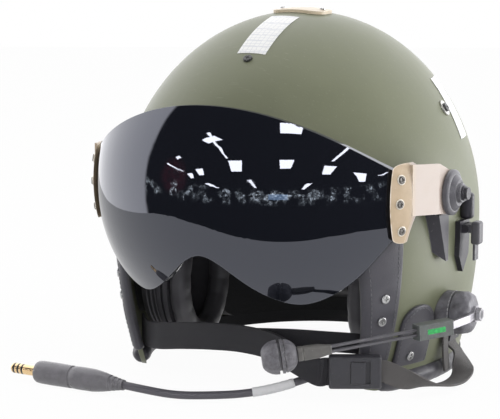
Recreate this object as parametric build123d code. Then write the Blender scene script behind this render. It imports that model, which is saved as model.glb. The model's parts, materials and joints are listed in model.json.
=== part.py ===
"""Pilot's flight helmet with two visors, boom microphone, chin strap and plug lead.

Millimetres. +Z up, the wearer faces -Y and the wearer's left is +X.
The origin is on the table under the middle of the helmet.
"""
from build123d import *
from functools import lru_cache
from math import asin, atan, degrees, pi, radians, sqrt, tan
import os

os.makedirs("parts", exist_ok=True)
parts = {}

# Form of the helmet: an egg-shaped dome that draws in below its widest line
dome_half_width = 125
dome_half_length = 146
dome_centre_y = 6
crown_height = 251
equator_height = 107
skirt_half_height = 220

# The shell's cut edge, seen from the side
shell_wall = 3
trim_lip = 2
shell_edge_height = trim_lip
face_edge_low_setback = 61
face_edge_high_setback = 39
brow_corner_height = 140
brow_front_height = 152
brow_corner_radius = 34
lobe_corner_radius = 16

# Gaps shared by the whole helmet
glue_gap = 0.15
soft_gap = 0.3
running_gap = 0.05
side_gap = 0.4
screw_gap = 0.1
reach = 80

# Axis that both visors turn about
pivot_y = -33
pivot_z = 136

# Foremost line of the form, which the face opening and what it carries keep to
dome_front_y = dome_centre_y - dome_half_length
face_edge_low_y = dome_front_y + face_edge_low_setback
face_edge_high_y = dome_front_y + face_edge_high_setback


def block(low, high):
    """Box between two opposite corners."""
    size = Vector(*high) - Vector(*low)
    return Pos(*low) * Box(size.X, size.Y, size.Z, align=(Align.MIN, Align.MIN, Align.MIN))


def other_side(shape):
    """The twin of a piece on the wearer's right."""
    return mirror(shape, about=Plane.YZ)


def share_place(shares):
    """Point from shares of the helmet's half width, half length and widest height."""
    return (dome_half_width * shares[0], dome_half_length * shares[1], equator_height * shares[2])


def rod(start, end, radius):
    """Round bar from one point to another."""
    axis = Vector(*end) - Vector(*start)
    return extrude(Plane(origin=start, z_dir=axis) * Circle(radius), axis.length)


def group(*shapes):
    """Several separate solids in one node."""
    return Compound(children=[solid for shape in shapes for solid in shape.solids()])


@lru_cache(maxsize=None)
def dome(offset):
    """Solid inside the helmet's outer surface moved outwards by an offset."""
    half_width = dome_half_width + offset
    rise = crown_height - equator_height + offset
    drop = skirt_half_height + offset
    depth = equator_height + reach / 2
    low_angle = degrees(asin(depth / drop))
    crown_arc = EllipticalCenterArc((0, equator_height), half_width, rise, 0, arc_size=90)
    skirt_arc = EllipticalCenterArc((0, equator_height), half_width, drop, -low_angle, arc_size=low_angle)
    middle = Polyline(crown_arc @ 1, (0, equator_height - depth), skirt_arc @ 0)
    round_dome = revolve(Plane.XZ * make_face([crown_arc, skirt_arc, middle]), Axis.Z)
    stretch = (dome_half_length + offset) / half_width
    return Pos(0, dome_centre_y, 0) * scale(round_dome, by=(1, stretch, 1))


def dome_band(outer, inner):
    """Skin that follows the helmet between two offsets."""
    return dome(outer) - dome(inner)


def side_prism(outline):
    """Bar across the whole helmet from an outline in Y and Z."""
    return extrude(Plane.YZ * outline, dome_half_width + reach, both=True)


def left_half(shape):
    """What a shape has on the wearer's left."""
    span = dome_half_length + reach
    return shape & block((0, -span, -reach), (span, span, crown_height + reach))


@lru_cache(maxsize=None)
def edge_region(grow):
    """All that lies in front of and below the shell's cut edge, grown by a width."""
    front = -dome_half_length - reach
    back = dome_half_length + reach
    edge = FilletPolyline(
        (front, brow_front_height),
        (face_edge_high_y, brow_corner_height),
        (face_edge_low_y, shell_edge_height),
        (back, shell_edge_height),
        radius=[brow_corner_radius, lobe_corner_radius],
    )
    closing = Polyline(edge @ 1, (back, -reach), (front, -reach), edge @ 0)
    region = make_face([edge, closing])
    if grow:
        region = offset(region, grow)
    return side_prism(region)


def skin_plane(y, z, lift=0):
    """Plane on the helmet's left side at a height and a length, facing outwards."""
    rise = crown_height - equator_height if z > equator_height else skirt_half_height
    along = (y - dome_centre_y) / dome_half_length
    up = (z - equator_height) / rise
    across = sqrt(1 - along**2 - up**2)
    normal = Vector(across / dome_half_width, along / dome_half_length, up / rise).normalized()
    point = Vector(dome_half_width * across, y, z) + normal * lift
    return Plane(origin=point, x_dir=(0, 1, 0), z_dir=normal)


def crown_plane(x, y, lift=0):
    """Plane on top of the helmet over a point of its plan, facing outwards."""
    rise = crown_height - equator_height
    across = x / dome_half_width
    along = (y - dome_centre_y) / dome_half_length
    up = sqrt(1 - across**2 - along**2)
    normal = Vector(across / dome_half_width, along / dome_half_length, up / rise).normalized()
    point = Vector(x, y, equator_height + rise * up) + normal * lift
    return Plane(origin=point, x_dir=(1, 0, 0), z_dir=normal)


def screw(head_radius, head_height, shank_radius, shank_length):
    """Pan head screw with a cross recess, its head's seat at the origin."""
    slot_length_share, slot_width_share, slot_depth_share = 1.1, 0.26, 0.6
    rounding_share = 0.45
    head = Cylinder(head_radius, head_height, align=(Align.CENTER, Align.CENTER, Align.MIN))
    head = fillet(head.edges().group_by(Axis.Z)[-1], head_height * rounding_share)
    slot_length = head_radius * slot_length_share
    slot_width = head_radius * slot_width_share
    slot_depth = head_height * slot_depth_share
    slot = Pos(0, 0, head_height - slot_depth) * Box(
        slot_length, slot_width, slot_depth * 2, align=(Align.CENTER, Align.CENTER, Align.MIN)
    )
    shank = Cylinder(shank_radius, shank_length, align=(Align.CENTER, Align.CENTER, Align.MAX))
    return head + shank - slot - Rot(0, 0, 90) * slot


def screw_hole(shank_radius, shank_length):
    """Clearance hole for such a screw."""
    depth = shank_length + screw_gap
    hole = Cylinder(shank_radius + screw_gap, depth, align=(Align.CENTER, Align.CENTER, Align.MAX))
    return Pos(0, 0, depth / 2) * hole + hole


# Outer shell, with the holes of every screw that goes through it
shell_screw_head = 3.2
shell_screw_head_height = 1.6
shell_screw_radius = 1.5
shell_screw_length = 2.8
front_screw_setback = 61
side_screw_y = 18
side_screw_z = 186
washer_radius = 5.6
washer_height = 0.9

front_screw_y = dome_front_y + front_screw_setback
front_screw_seat = crown_plane(0, front_screw_y, glue_gap)
side_screw_seat = skin_plane(side_screw_y, side_screw_z, glue_gap + washer_height)
front_screw = front_screw_seat * screw(
    shell_screw_head, shell_screw_head_height, shell_screw_radius, shell_screw_length
)
side_screw_length = shell_screw_length + washer_height
side_screw = side_screw_seat * screw(
    shell_screw_head, shell_screw_head_height, shell_screw_radius, side_screw_length
)
side_hole = side_screw_seat * screw_hole(shell_screw_radius, side_screw_length)
front_hole = front_screw_seat * screw_hole(shell_screw_radius, shell_screw_length)
washer = Cylinder(washer_radius, washer_height, align=(Align.CENTER, Align.CENTER, Align.MIN))
washer -= Cylinder(shell_screw_radius + screw_gap, washer_height * 4)
washer = skin_plane(side_screw_y, side_screw_z, glue_gap) * washer
parts["shell_screws"] = group(front_screw, side_screw, other_side(side_screw))
parts["screw_washers"] = group(washer, other_side(washer))

shell = dome_band(0, -shell_wall) - edge_region(0)
shell = shell - front_hole - side_hole - other_side(side_hole)
grown_shell = dome_band(glue_gap, -shell_wall - glue_gap) - edge_region(-glue_gap)

# Black flaps folded round the front edge of the ear lobes, two screws each
flap_skin = 1.8
flap_length = 12
flap_top = 122
flap_foot = 15
flap_corner = 7
lobe_screw_inset = 1
lobe_screw_heights = (69, 53.5)
lobe_screw_head = 3.2
lobe_screw_head_height = 1.5
lobe_screw_radius = 1.4
lobe_screw_length = 4.5

flap_rear_y = face_edge_low_y + flap_length
lobe_screw_y = face_edge_low_y + lobe_screw_inset
flap_front = -dome_half_length - shell_wall
flap_outline = Polyline(
    (flap_front, flap_foot), (flap_rear_y, flap_foot), (flap_rear_y, flap_top), (flap_front, flap_top), close=True
)
flap_face = make_face(flap_outline)
flap_face = fillet(flap_face.vertices().group_by(Axis.X)[-1], flap_corner)
flap_grip = glue_gap + flap_skin
flap = dome_band(flap_grip, -shell_wall - flap_grip) & side_prism(flap_face)
flap = left_half(flap) - edge_region(-flap_grip) - grown_shell
lobe_screw = screw(lobe_screw_head, lobe_screw_head_height, lobe_screw_radius, lobe_screw_length)
lobe_screw_hole = screw_hole(lobe_screw_radius, lobe_screw_length)
lobe_screws = []
for height in lobe_screw_heights:
    seat = skin_plane(lobe_screw_y, height, flap_grip)
    lobe_screws.append(seat * lobe_screw)
    flap -= seat * lobe_screw_hole
    shell = shell - seat * lobe_screw_hole - other_side(seat * lobe_screw_hole)
parts["cheek_flap_left"] = flap
parts["cheek_flap_right"] = other_side(flap)

# Padded rolls sewn along the feet of the ear lobes
roll_radius = 7
roll_setback = 19
roll_rear_y = 30

roll_front_y = face_edge_low_y + roll_setback
roll_half_width = dome_half_width - shell_wall / 2
roll_half_length = dome_half_length - shell_wall / 2
roll_draw_in = sqrt(1 - ((equator_height - roll_radius) / skirt_half_height) ** 2)
roll_start = degrees(asin((roll_front_y - dome_centre_y) / (roll_half_length * roll_draw_in)))
roll_end = degrees(asin((roll_rear_y - dome_centre_y) / (roll_half_length * roll_draw_in)))
roll_path = EllipticalCenterArc(
    (0, dome_centre_y),
    roll_half_width * roll_draw_in,
    roll_half_length * roll_draw_in,
    roll_start,
    arc_size=roll_end - roll_start,
)
roll_path = Pos(0, 0, roll_radius) * roll_path
roll = sweep(Plane(origin=roll_path @ 0, z_dir=roll_path % 0) * Circle(roll_radius), path=roll_path)
roll = roll + Pos(*(roll_path @ 0)) * Sphere(roll_radius) + Pos(*(roll_path @ 1)) * Sphere(roll_radius)
roll = roll - grown_shell - edge_region(-trim_lip)
roll = roll.solids().sort_by(SortBy.VOLUME)[-1]
parts["edge_rolls"] = group(roll, other_side(roll))

# Rubber channel pressed over the rest of the shell's edge
trim_wall = 1.3
trim_depth = 7

trim = dome_band(glue_gap + trim_wall, -shell_wall - glue_gap - trim_wall) - grown_shell
trim = (trim & edge_region(trim_depth)) - edge_region(-trim_lip)
far = dome_half_length + reach
brow_trim = trim & block((-far, -far, flap_top + soft_gap), (far, 0, crown_height))
nape_start = roll_rear_y + roll_radius + soft_gap
nape_trim = trim & block((-far, nape_start, -reach), (far, far, flap_foot))
parts["edge_trim"] = group(brow_trim, nape_trim)

# Foam liner that leaves the ear lobes free
liner_wall = 18
liner_brow_rise = 10
liner_lobe_height = 112
liner_lobe_setback = 27
liner_lobe_rear_y = 50
liner_foot = 12
liner_corner = 12

liner_gap = shell_wall + glue_gap
liner_lobe_front_y = face_edge_low_y + liner_lobe_setback
far_front = -dome_half_length - reach
liner_edge = FilletPolyline(
    (far_front, brow_front_height + liner_brow_rise),
    (face_edge_high_y, brow_corner_height + liner_brow_rise),
    (liner_lobe_front_y, liner_lobe_height),
    (liner_lobe_rear_y, liner_lobe_height),
    (liner_lobe_rear_y, liner_foot),
    (far, liner_foot),
    radius=[liner_corner, liner_corner, liner_corner, liner_corner],
)
liner_closing = Polyline(liner_edge @ 1, (far, -reach), (far_front, -reach), liner_edge @ 0)
liner = dome_band(-liner_gap, -liner_gap - liner_wall)
liner = liner - side_prism(make_face([liner_edge, liner_closing]))
parts["impact_liner"] = liner.solids().sort_by(SortBy.VOLUME)[-1]

# Comfort pads: crowned cushions glued inside the liner
pad_thickness = 9
crown_pad_half_width = 42
crown_pad_half_length = 56
crown_pad_corner = 30
brow_pad_half_width = 64
brow_pad_low = 166
brow_pad_high = 190
nape_pad_half_width = 58
nape_pad_low = 16
nape_pad_high = 62
pad_corner = 8

pad_skin = dome_band(-liner_gap - liner_wall - soft_gap, -liner_gap - liner_wall - soft_gap - pad_thickness)
crown_plan = Pos(0, dome_centre_y) * RectangleRounded(
    crown_pad_half_width * 2, crown_pad_half_length * 2, crown_pad_corner
)
crown_prism = Pos(0, 0, equator_height) * extrude(crown_plan, crown_height)
brow_front = Plane.XZ * Pos(0, (brow_pad_low + brow_pad_high) / 2) * RectangleRounded(
    brow_pad_half_width * 2, brow_pad_high - brow_pad_low, pad_corner
)
nape_front = Plane.XZ * Pos(0, (nape_pad_low + nape_pad_high) / 2) * RectangleRounded(
    nape_pad_half_width * 2, nape_pad_high - nape_pad_low, pad_corner
)
parts["crown_pad"] = pad_skin & crown_prism
parts["brow_pad"] = pad_skin & extrude(brow_front, far)
parts["nape_pad"] = pad_skin & extrude(nape_front, -far)

# Ear cups: oval shells with a seal, an earphone and a spacer to the shell
ear_y = -18
ear_z = 58
seal_half_length = 38
seal_half_height = 46
seal_hole_half_length = 23
seal_hole_half_height = 31
seal_face_x = 62
seal_thickness = 14
seal_rounding = 6
cup_depth = 24
cup_wall = 2.5
cup_inset = 3
cup_draw_in = 3.4
cup_rib = 1.6
cup_rib_height = 3
earphone_radius = 20
earphone_height = 11
spacer_half_length = 24
spacer_half_height = 26

cup_mouth_x = seal_face_x + seal_thickness + soft_gap
cup_back_x = cup_mouth_x + cup_depth


def ear_plane(x):
    """Side plane through the middle of the ear cup."""
    return Plane(origin=(x, ear_y, ear_z), x_dir=(0, 1, 0), z_dir=(1, 0, 0))


cup_half_length = seal_half_length - cup_inset
cup_half_height = seal_half_height - cup_inset


def cup_form(back_x, grow):
    """Oval cup from its mouth to a depth, narrowing evenly, grown by a width."""
    draw_in = cup_draw_in * (back_x - cup_mouth_x) / cup_depth
    mouth = ear_plane(cup_mouth_x) * Ellipse(cup_half_length + grow, cup_half_height + grow)
    back = ear_plane(back_x) * Ellipse(cup_half_length - draw_in + grow, cup_half_height - draw_in + grow)
    return loft([mouth, back], ruled=True)


cup = cup_form(cup_back_x, 0)
cup += extrude(ear_plane(cup_mouth_x) * Ellipse(seal_half_length, seal_half_height), cup_rib_height)
cup += extrude(
    ear_plane(cup_mouth_x + cup_rib_height * 2) * Ellipse(cup_half_length + cup_rib, cup_half_height + cup_rib),
    cup_rib_height,
)
cup -= cup_form(cup_back_x - cup_wall, -cup_wall)
seal = extrude(ear_plane(seal_face_x) * Ellipse(seal_half_length, seal_half_height), seal_thickness)
seal -= extrude(ear_plane(seal_face_x) * Ellipse(seal_hole_half_length, seal_hole_half_height), seal_thickness)
seal = fillet(seal.edges().filter_by(GeomType.ELLIPSE), seal_rounding)
earphone = extrude(ear_plane(cup_back_x - cup_wall - glue_gap) * Circle(earphone_radius), -earphone_height)
spacer_front = ear_plane(cup_back_x + glue_gap) * RectangleRounded(
    spacer_half_length * 2, spacer_half_height * 2, pad_corner
)
spacer = extrude(spacer_front, reach) & dome(-shell_wall - glue_gap)
parts["ear_cup_left"] = cup
parts["ear_cup_right"] = other_side(cup)
parts["ear_seal_left"] = seal
parts["ear_seal_right"] = other_side(seal)
parts["earphones"] = group(earphone, other_side(earphone))
parts["cup_spacers"] = group(spacer, other_side(spacer))

# Leather tabs behind the flaps, each with a screw at its foot
tab_skin = 1.8
tab_setback = 5
tab_length = 31
tab_top = 60
tab_foot = 18
tab_round = 14
tab_screw_inset = 13
tab_screw_z = 25

tab_front_y = flap_rear_y + tab_setback
tab_rear_y = tab_front_y + tab_length
tab_screw_y = tab_front_y + tab_screw_inset
tab_face = make_face(
    Polyline(
        (tab_front_y, tab_foot), (tab_rear_y, tab_foot), (tab_rear_y, tab_top), (tab_front_y, tab_top), close=True
    )
)
tab_face = fillet(tab_face.vertices().group_by(Axis.Y)[-1], tab_round)
tab = left_half(dome_band(glue_gap + tab_skin, glue_gap) & side_prism(tab_face))
tab_seat = skin_plane(tab_screw_y, tab_screw_z, glue_gap + tab_skin)
lobe_screws.append(tab_seat * lobe_screw)
tab -= tab_seat * lobe_screw_hole
shell = shell - tab_seat * lobe_screw_hole - other_side(tab_seat * lobe_screw_hole)
parts["anchor_tabs"] = group(tab, other_side(tab))

# White reflective tapes on top and behind the side screws
tape_skin = 0.35
tape_width = 21
front_tape_gap = 5
front_tape_length = 54
side_tape_y = 38
side_tape_low = 164
side_tape_high = 205

front_tape_start_y = front_screw_y + front_tape_gap
front_tape_end_y = front_tape_start_y + front_tape_length
tape_band = dome_band(glue_gap + tape_skin, glue_gap)
parts["front_tape"] = tape_band & block(
    (-tape_width / 2, front_tape_start_y, equator_height), (tape_width / 2, front_tape_end_y, crown_height + reach)
)
side_tape = tape_band & block(
    (0, side_tape_y - tape_width / 2, side_tape_low), (far, side_tape_y + tape_width / 2, side_tape_high)
)
parts["side_tapes"] = group(side_tape, other_side(side_tape))

# Tan plate on the crown, held by two screws
plate_thickness = 2.2
plate_half_width = 20
plate_half_length = 14
plate_y = 8
plate_corner = 10
plate_screw_x = 15
plate_screw_head = 2
plate_screw_head_height = 1
plate_screw_radius = 1
plate_screw_length = 4

plate_plan = Pos(0, plate_y) * RectangleRounded(plate_half_width * 2, plate_half_length * 2, plate_corner)
plate_prism = Pos(0, 0, equator_height) * extrude(plate_plan, crown_height)
plate = dome_band(glue_gap + plate_thickness, glue_gap) & plate_prism
plate_screws = []
for x in (-plate_screw_x, plate_screw_x):
    seat = crown_plane(x, plate_y, glue_gap + plate_thickness + glue_gap)
    plate_screw = screw(plate_screw_head, plate_screw_head_height, plate_screw_radius, plate_screw_length)
    plate_screws.append(seat * plate_screw)
    hole = seat * screw_hole(plate_screw_radius, plate_screw_length)
    plate -= hole
    shell -= hole
parts["crown_plate"] = plate
parts["crown_screws"] = group(*plate_screws)

# Pivot blocks on the sides of the shell, with a threaded post each
post_radius = 4
post_length = 18.6
base_face_inset = 1.1
base_front_length = 14
base_rear_length = 13
base_top = 149
base_corner = 6
bumper_proud = 1
bumper_depth = 18
bumper_rear_length = 6
bumper_ridge_setback = 2
bumper_foot_setback = 16
bumper_top = 121.5
bumper_foot = 88
clip_radius = 5
clip_width = 1.2
arm_round = 15

base_face_x = dome_half_width - base_face_inset
base_front_y = pivot_y - base_front_length
base_rear_y = pivot_y + base_rear_length
post_end_x = base_face_x + post_length
bumper_face_x = dome_half_width + bumper_proud
bumper_inner_x = bumper_face_x - bumper_depth
bumper_rear_y = pivot_y + bumper_rear_length
base_face = make_face(
    Polyline(
        (base_front_y, bumper_top), (base_rear_y, bumper_top), (base_rear_y, base_top), (base_front_y, base_top),
        close=True,
    )
)
base_face = fillet(base_face.vertices(), base_corner)
pivot_base = extrude(Plane.YZ * base_face, base_face_x)
bumper_slant = bumper_face_x - bumper_inner_x
bumper_front = make_face(
    Polyline(
        (bumper_inner_x, bumper_top + base_corner), (base_face_x, bumper_top + base_corner),
        (base_face_x, bumper_top), (bumper_face_x, bumper_top), (bumper_face_x, bumper_foot),
        (bumper_inner_x, bumper_foot + bumper_slant), close=True,
    )
)
bumper = Pos(0, bumper_rear_y, 0) * extrude(Plane.XZ * bumper_front, bumper_rear_y - base_front_y)


def bumper_section(z, setback):
    """Plan of the bumper at a height, its outer front corner set back."""
    return Pos(0, 0, z) * make_face(
        Polyline(
            (bumper_inner_x, base_front_y), (bumper_face_x, base_front_y + setback), (bumper_face_x, bumper_rear_y),
            (bumper_inner_x, bumper_rear_y), close=True,
        )
    )


bumper_wedge = loft(
    [bumper_section(bumper_foot, bumper_foot_setback), bumper_section(bumper_top, bumper_ridge_setback)], ruled=True
)
bumper_wedge += block((bumper_inner_x, base_front_y, bumper_top), (base_face_x, bumper_rear_y, base_top))
bumper &= bumper_wedge
pivot_base = (pivot_base + bumper) - dome(glue_gap)
pivot_base = pivot_base.solids().sort_by(SortBy.VOLUME)[-1]
post = rod((bumper_inner_x, pivot_y, pivot_z), (post_end_x - post_radius, pivot_y, pivot_z), post_radius)
post += Pos(post_end_x - post_radius, pivot_y, pivot_z) * Sphere(post_radius)
pivot_base -= rod((0, pivot_y, pivot_z), (far, pivot_y, pivot_z), post_radius + running_gap)
parts["pivot_bases"] = group(pivot_base, other_side(pivot_base))

# Clear inner visor, carried on its own pair of arms
inner_span_gap = 6
inner_radius_gap = 7.9
inner_wall = 2
inner_top = 178
inner_side_inset = 21
inner_side_low = 126
inner_lower_rise = 5
inner_arm_wall = 1.7
inner_arm_half_height = 10
inner_arm_lap = 8
inner_arm_bend_length = 17
visor_span_gap = 2
visor_front_gap = 15.4
visor_wall = 2.6
visor_top = 199
visor_side_inset = 9
visor_low = 68
visor_side_top = 150
visor_side_low = 122
visor_rivet_gap = 0.2

# Lower edge from the side to the nose, as shares of the half width and of the height
visor_lower_edge_shares = (
    (0.924, 0.313), (0.793, 0.157), (0.61, 0.031), (0.492, 0.003), (0.364, 0.04), (0.237, 0.12), (0.11, 0.215),
)
visor_nose_share = 0.256

visor_half_span = dome_half_width + visor_span_gap
visor_radius = pivot_y - dome_front_y + visor_front_gap
visor_half_width = visor_half_span - visor_side_inset
inner_half_span = visor_half_span - inner_span_gap
inner_radius = visor_radius - inner_radius_gap
inner_half_width = inner_half_span - inner_side_inset
inner_arm_bend_y = pivot_y - inner_arm_bend_length


def lens_shape(half_span, radius):
    """Solid of revolution about the visor's pivot axis, narrower towards its ends."""
    profile = make_face([
        EllipticalCenterArc((0, 0), half_span, radius, 0, arc_size=180),
        Line((-half_span, 0), (half_span, 0)),
    ])
    return Pos(0, pivot_y, pivot_z) * revolve(profile, Axis.X)


def lens_outline(half_width, top, low_rise, side_top, side_low, nose):
    """Front view of a lens with two cheek lobes and a notch for the nose."""
    height = visor_top - visor_low
    right_points = [(half_width * x, visor_low + height * z + low_rise) for x, z in visor_lower_edge_shares]
    left_points = [(-x, z) for x, z in reversed(right_points)]
    nose_point = (0, visor_low + height * nose + low_rise)
    lower = Spline((half_width, side_low), *right_points, nose_point, *left_points, (-half_width, side_low))
    upper = ThreePointArc((-half_width, side_top), (0, top), (half_width, side_top))
    left_side = Line((half_width, side_top), (half_width, side_low))
    right_side = Line((-half_width, side_low), (-half_width, side_top))
    return make_face([lower, upper, left_side, right_side])


def lens(half_span, radius, wall, outline):
    """Lens cut from the front half of the visor form."""
    body = lens_shape(half_span, radius) - lens_shape(half_span - wall, radius - wall)
    return body & Pos(0, pivot_y, 0) * extrude(Plane.XZ * outline, far)


def side_arm(plan_points, wall, side_face):
    """Bent sheet arm: its plan gives the bend, its side view the outline."""
    middle = Polyline(*plan_points)
    plan = make_face(offset(middle, wall / 2, side=Side.BOTH, kind=Kind.INTERSECTION))
    return extrude(plan, crown_height) & extrude(Plane.YZ * side_face, far)


visor_sheet = lens(
    visor_half_span, visor_radius, visor_wall,
    lens_outline(visor_half_width, visor_top, 0, visor_side_top, visor_side_low, visor_nose_share),
)
inner_sheet = lens(
    inner_half_span, inner_radius, inner_wall,
    lens_outline(inner_half_width, inner_top, inner_lower_rise, visor_side_top, inner_side_low, visor_nose_share),
)

# Tan side arms: a plate over the end of the lens and a bent sheet back to the pivot
plate_wall = 2.2
lens_plate_width = 6.5
lens_plate_foot_width = 4
lens_plate_slant_top = 126
lens_plate_shoulder = 157.5
lens_plate_head_width = 6
lens_plate_low = 108
lens_plate_high = 161
lens_plate_corner_share = 0.9
arm_low = 126
arm_high = 160
arm_bend_length = 19
arm_front_share = 0.376
visor_screw_inset = 4.6
visor_screw_heights = (150.5, 135, 117)
visor_screw_head = 2.6
visor_screw_head_height = 1.3
visor_screw_radius = 1.2
visor_screw_length = 4.6

arm_bend_y = pivot_y - arm_bend_length
arm_front_y = pivot_y - visor_radius * arm_front_share
lens_plate_front_x = visor_half_width - lens_plate_width
visor_screw_x = visor_half_width - visor_screw_inset
inner_arm_x = base_face_x + side_gap + inner_arm_wall / 2
visor_arm_x = inner_arm_x + inner_arm_wall / 2 + side_gap + plate_wall / 2
lens_lift = visor_rivet_gap + plate_wall


def lens_plane(half_span, radius, x, z, lift):
    """Plane on a lens at a width and a height, facing outwards."""
    ring = radius * sqrt(1 - (x / half_span) ** 2)
    forward = sqrt(ring**2 - (z - pivot_z) ** 2)
    normal = Vector(x / half_span**2, -forward / radius**2, (z - pivot_z) / radius**2).normalized()
    point = Vector(x, pivot_y - forward, z) + normal * lift
    return Plane(origin=point, x_dir=(0, 0, 1), z_dir=normal)


lens_plate = lens_shape(visor_half_span + lens_lift, visor_radius + lens_lift)
lens_plate -= lens_shape(visor_half_span + visor_rivet_gap, visor_radius + visor_rivet_gap)
lens_plate_rear_x = visor_half_width + plate_wall
plate_front = make_face(
    Polyline(
        (lens_plate_front_x, lens_plate_low), (lens_plate_front_x + lens_plate_foot_width, lens_plate_low),
        (lens_plate_rear_x, lens_plate_slant_top), (lens_plate_rear_x, lens_plate_shoulder),
        (lens_plate_front_x + lens_plate_head_width, lens_plate_high), (lens_plate_front_x, lens_plate_high),
        close=True,
    )
)
plate_front = fillet(plate_front.vertices().group_by(Axis.X)[0], lens_plate_foot_width * lens_plate_corner_share)
lens_plate &= Pos(0, pivot_y, 0) * extrude(Plane.XZ * plate_front, far)
arm_side = make_face(
    Polyline(
        (arm_front_y, arm_low), (arm_bend_y, arm_low - plate_wall), (pivot_y, pivot_z - arm_round),
        (pivot_y, pivot_z + arm_round), (arm_bend_y, arm_high - plate_wall), (arm_front_y, arm_high), close=True,
    )
)
arm_side += Pos(pivot_y, pivot_z) * Circle(arm_round)
arm_front = lens_plane(
    visor_half_span, visor_radius, visor_half_width, pivot_z, visor_rivet_gap + plate_wall / 2
).origin
visor_arm = side_arm(
    [(arm_front.X, arm_front.Y), (visor_arm_x, arm_bend_y), (visor_arm_x, pivot_y + far)], plate_wall, arm_side
)
visor_arm = visor_arm + lens_plate
visor_arm -= rod((0, pivot_y, pivot_z), (far, pivot_y, pivot_z), post_radius + running_gap)
visor_screws = []
for height in visor_screw_heights:
    seat = lens_plane(visor_half_span, visor_radius, visor_screw_x, height, lens_lift + glue_gap)
    visor_screw = screw(visor_screw_head, visor_screw_head_height, visor_screw_radius, visor_screw_length)
    visor_screws.append(seat * visor_screw)
    hole = seat * screw_hole(visor_screw_radius, visor_screw_length + visor_wall)
    visor_arm -= hole
    visor_sheet = visor_sheet - hole - other_side(hole)
parts["outer_visor"] = visor_sheet
parts["visor_arm_left"] = visor_arm
parts["visor_arm_right"] = other_side(visor_arm)
parts["visor_screws"] = group(*visor_screws, *[other_side(one) for one in visor_screws])

# Arms of the inner visor, in the layer between the pivot block and the tan arms
inner_lift = glue_gap + inner_arm_wall / 2
inner_end = lens_plane(inner_half_span, inner_radius, inner_half_width, pivot_z, inner_lift).origin
inner_lap_x = inner_half_width - inner_arm_lap
inner_lap = lens_plane(inner_half_span, inner_radius, inner_lap_x, pivot_z, inner_lift).origin
inner_side = make_face(
    Polyline(
        (pivot_y - inner_radius, pivot_z - inner_arm_half_height), (pivot_y, pivot_z - inner_arm_half_height),
        (pivot_y, pivot_z + inner_arm_half_height), (pivot_y - inner_radius, pivot_z + inner_arm_half_height),
        close=True,
    )
)
inner_side += Pos(pivot_y, pivot_z) * Circle(inner_arm_half_height)
inner_arm_plan = [
    (inner_lap.X, inner_lap.Y), (inner_end.X, inner_end.Y), (inner_arm_x, inner_arm_bend_y),
    (inner_arm_x, pivot_y + far),
]
inner_arm = side_arm(inner_arm_plan, inner_arm_wall, inner_side)
inner_arm -= lens_shape(inner_half_span + glue_gap, inner_radius + glue_gap) & block(
    (0, -far, 0), (inner_half_width + glue_gap, pivot_y, crown_height)
)
inner_arm -= rod((0, pivot_y, pivot_z), (far, pivot_y, pivot_z), post_radius + running_gap)
inner_arm = inner_arm.solids().sort_by(SortBy.VOLUME)[-1]
parts["inner_visor"] = inner_sheet
parts["inner_visor_arms"] = group(inner_arm, other_side(inner_arm))

# Friction knobs that clamp the arms on the posts
knob_radius = 15.5
knob_rim = 3
knob_depth = 7
knob_crown_radius = 9
knob_hub_radius = 6.5
knob_hub_depth = 2.5
clip_gap = 0.5

knob_x = visor_arm_x + plate_wall / 2 + side_gap
knob_profile = make_face(
    Polyline(
        (knob_x, post_radius + running_gap), (knob_x, knob_radius), (knob_x + knob_rim, knob_radius),
        (knob_x + knob_depth, knob_crown_radius), (knob_x + knob_depth, knob_hub_radius),
        (knob_x + knob_depth + knob_hub_depth, knob_hub_radius),
        (knob_x + knob_depth + knob_hub_depth, post_radius + running_gap), close=True,
    )
)
knob = Pos(0, pivot_y, pivot_z) * revolve(knob_profile, Axis.X)
clip_x = knob_x + knob_depth + knob_hub_depth + clip_gap
post += rod((clip_x, pivot_y, pivot_z), (clip_x + clip_width, pivot_y, pivot_z), clip_radius)
post -= dome(glue_gap)
parts["pivot_posts"] = group(post, other_side(post))
parts["pivot_knob_left"] = knob
parts["pivot_knob_right"] = other_side(knob)

# Lever unit on the shell behind the left pivot
lock_skin = 3.6
lock_front_y = -10
lock_rear_y = 6
lock_foot = 76
lock_shoulder = 88
lock_top = 112
lock_hinge_proud = 5.5
lock_hinge_z = 107
lock_hinge_y = -2
lock_pin_radius = 1.5
lock_knuckle_radius = 3
lock_lever_half_width = 4
lock_ear_width = 1.6
grip_low = 96
grip_high = 112
grip_lift = 3.5
grip_depth = 6.5
grip_half_width = 4.6
grip_rounding = 2
blade_foot = 85
blade_wall = 1.6
blade_half_width = 3.4
housing_radius = 5
housing_low = 112.5
housing_high = 131
housing_y = 2
housing_seat_share = 0.8
housing_rounding_share = 0.6

lock_hinge_x = dome_half_width + lock_hinge_proud
grip_inner_x = lock_hinge_x + grip_lift
grip_outer_x = grip_inner_x + grip_depth
lock_middle_y = (lock_front_y + lock_rear_y) / 2
lock_face = make_face(
    Polyline(
        (lock_middle_y, lock_foot), (lock_rear_y, lock_shoulder), (lock_rear_y, lock_top), (lock_front_y, lock_top),
        (lock_front_y, lock_shoulder), close=True,
    )
)
lock_base = left_half(dome_band(glue_gap + lock_skin, glue_gap) & side_prism(lock_face))
ear_outer_y = lock_lever_half_width + side_gap + lock_ear_width
for side in (-1, 1):
    ear_y_low = lock_hinge_y + side * (lock_lever_half_width + side_gap)
    ear_y_high = lock_hinge_y + side * ear_outer_y
    ear_shape = rod(
        (lock_hinge_x, ear_y_low, lock_hinge_z), (lock_hinge_x, ear_y_high, lock_hinge_z), lock_knuckle_radius
    )
    ear_shape += block(
        (dome_half_width - lock_skin, min(ear_y_low, ear_y_high), lock_hinge_z - lock_knuckle_radius),
        (lock_hinge_x, max(ear_y_low, ear_y_high), lock_hinge_z + lock_knuckle_radius),
    )
    lock_base += ear_shape - dome(glue_gap)
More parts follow.
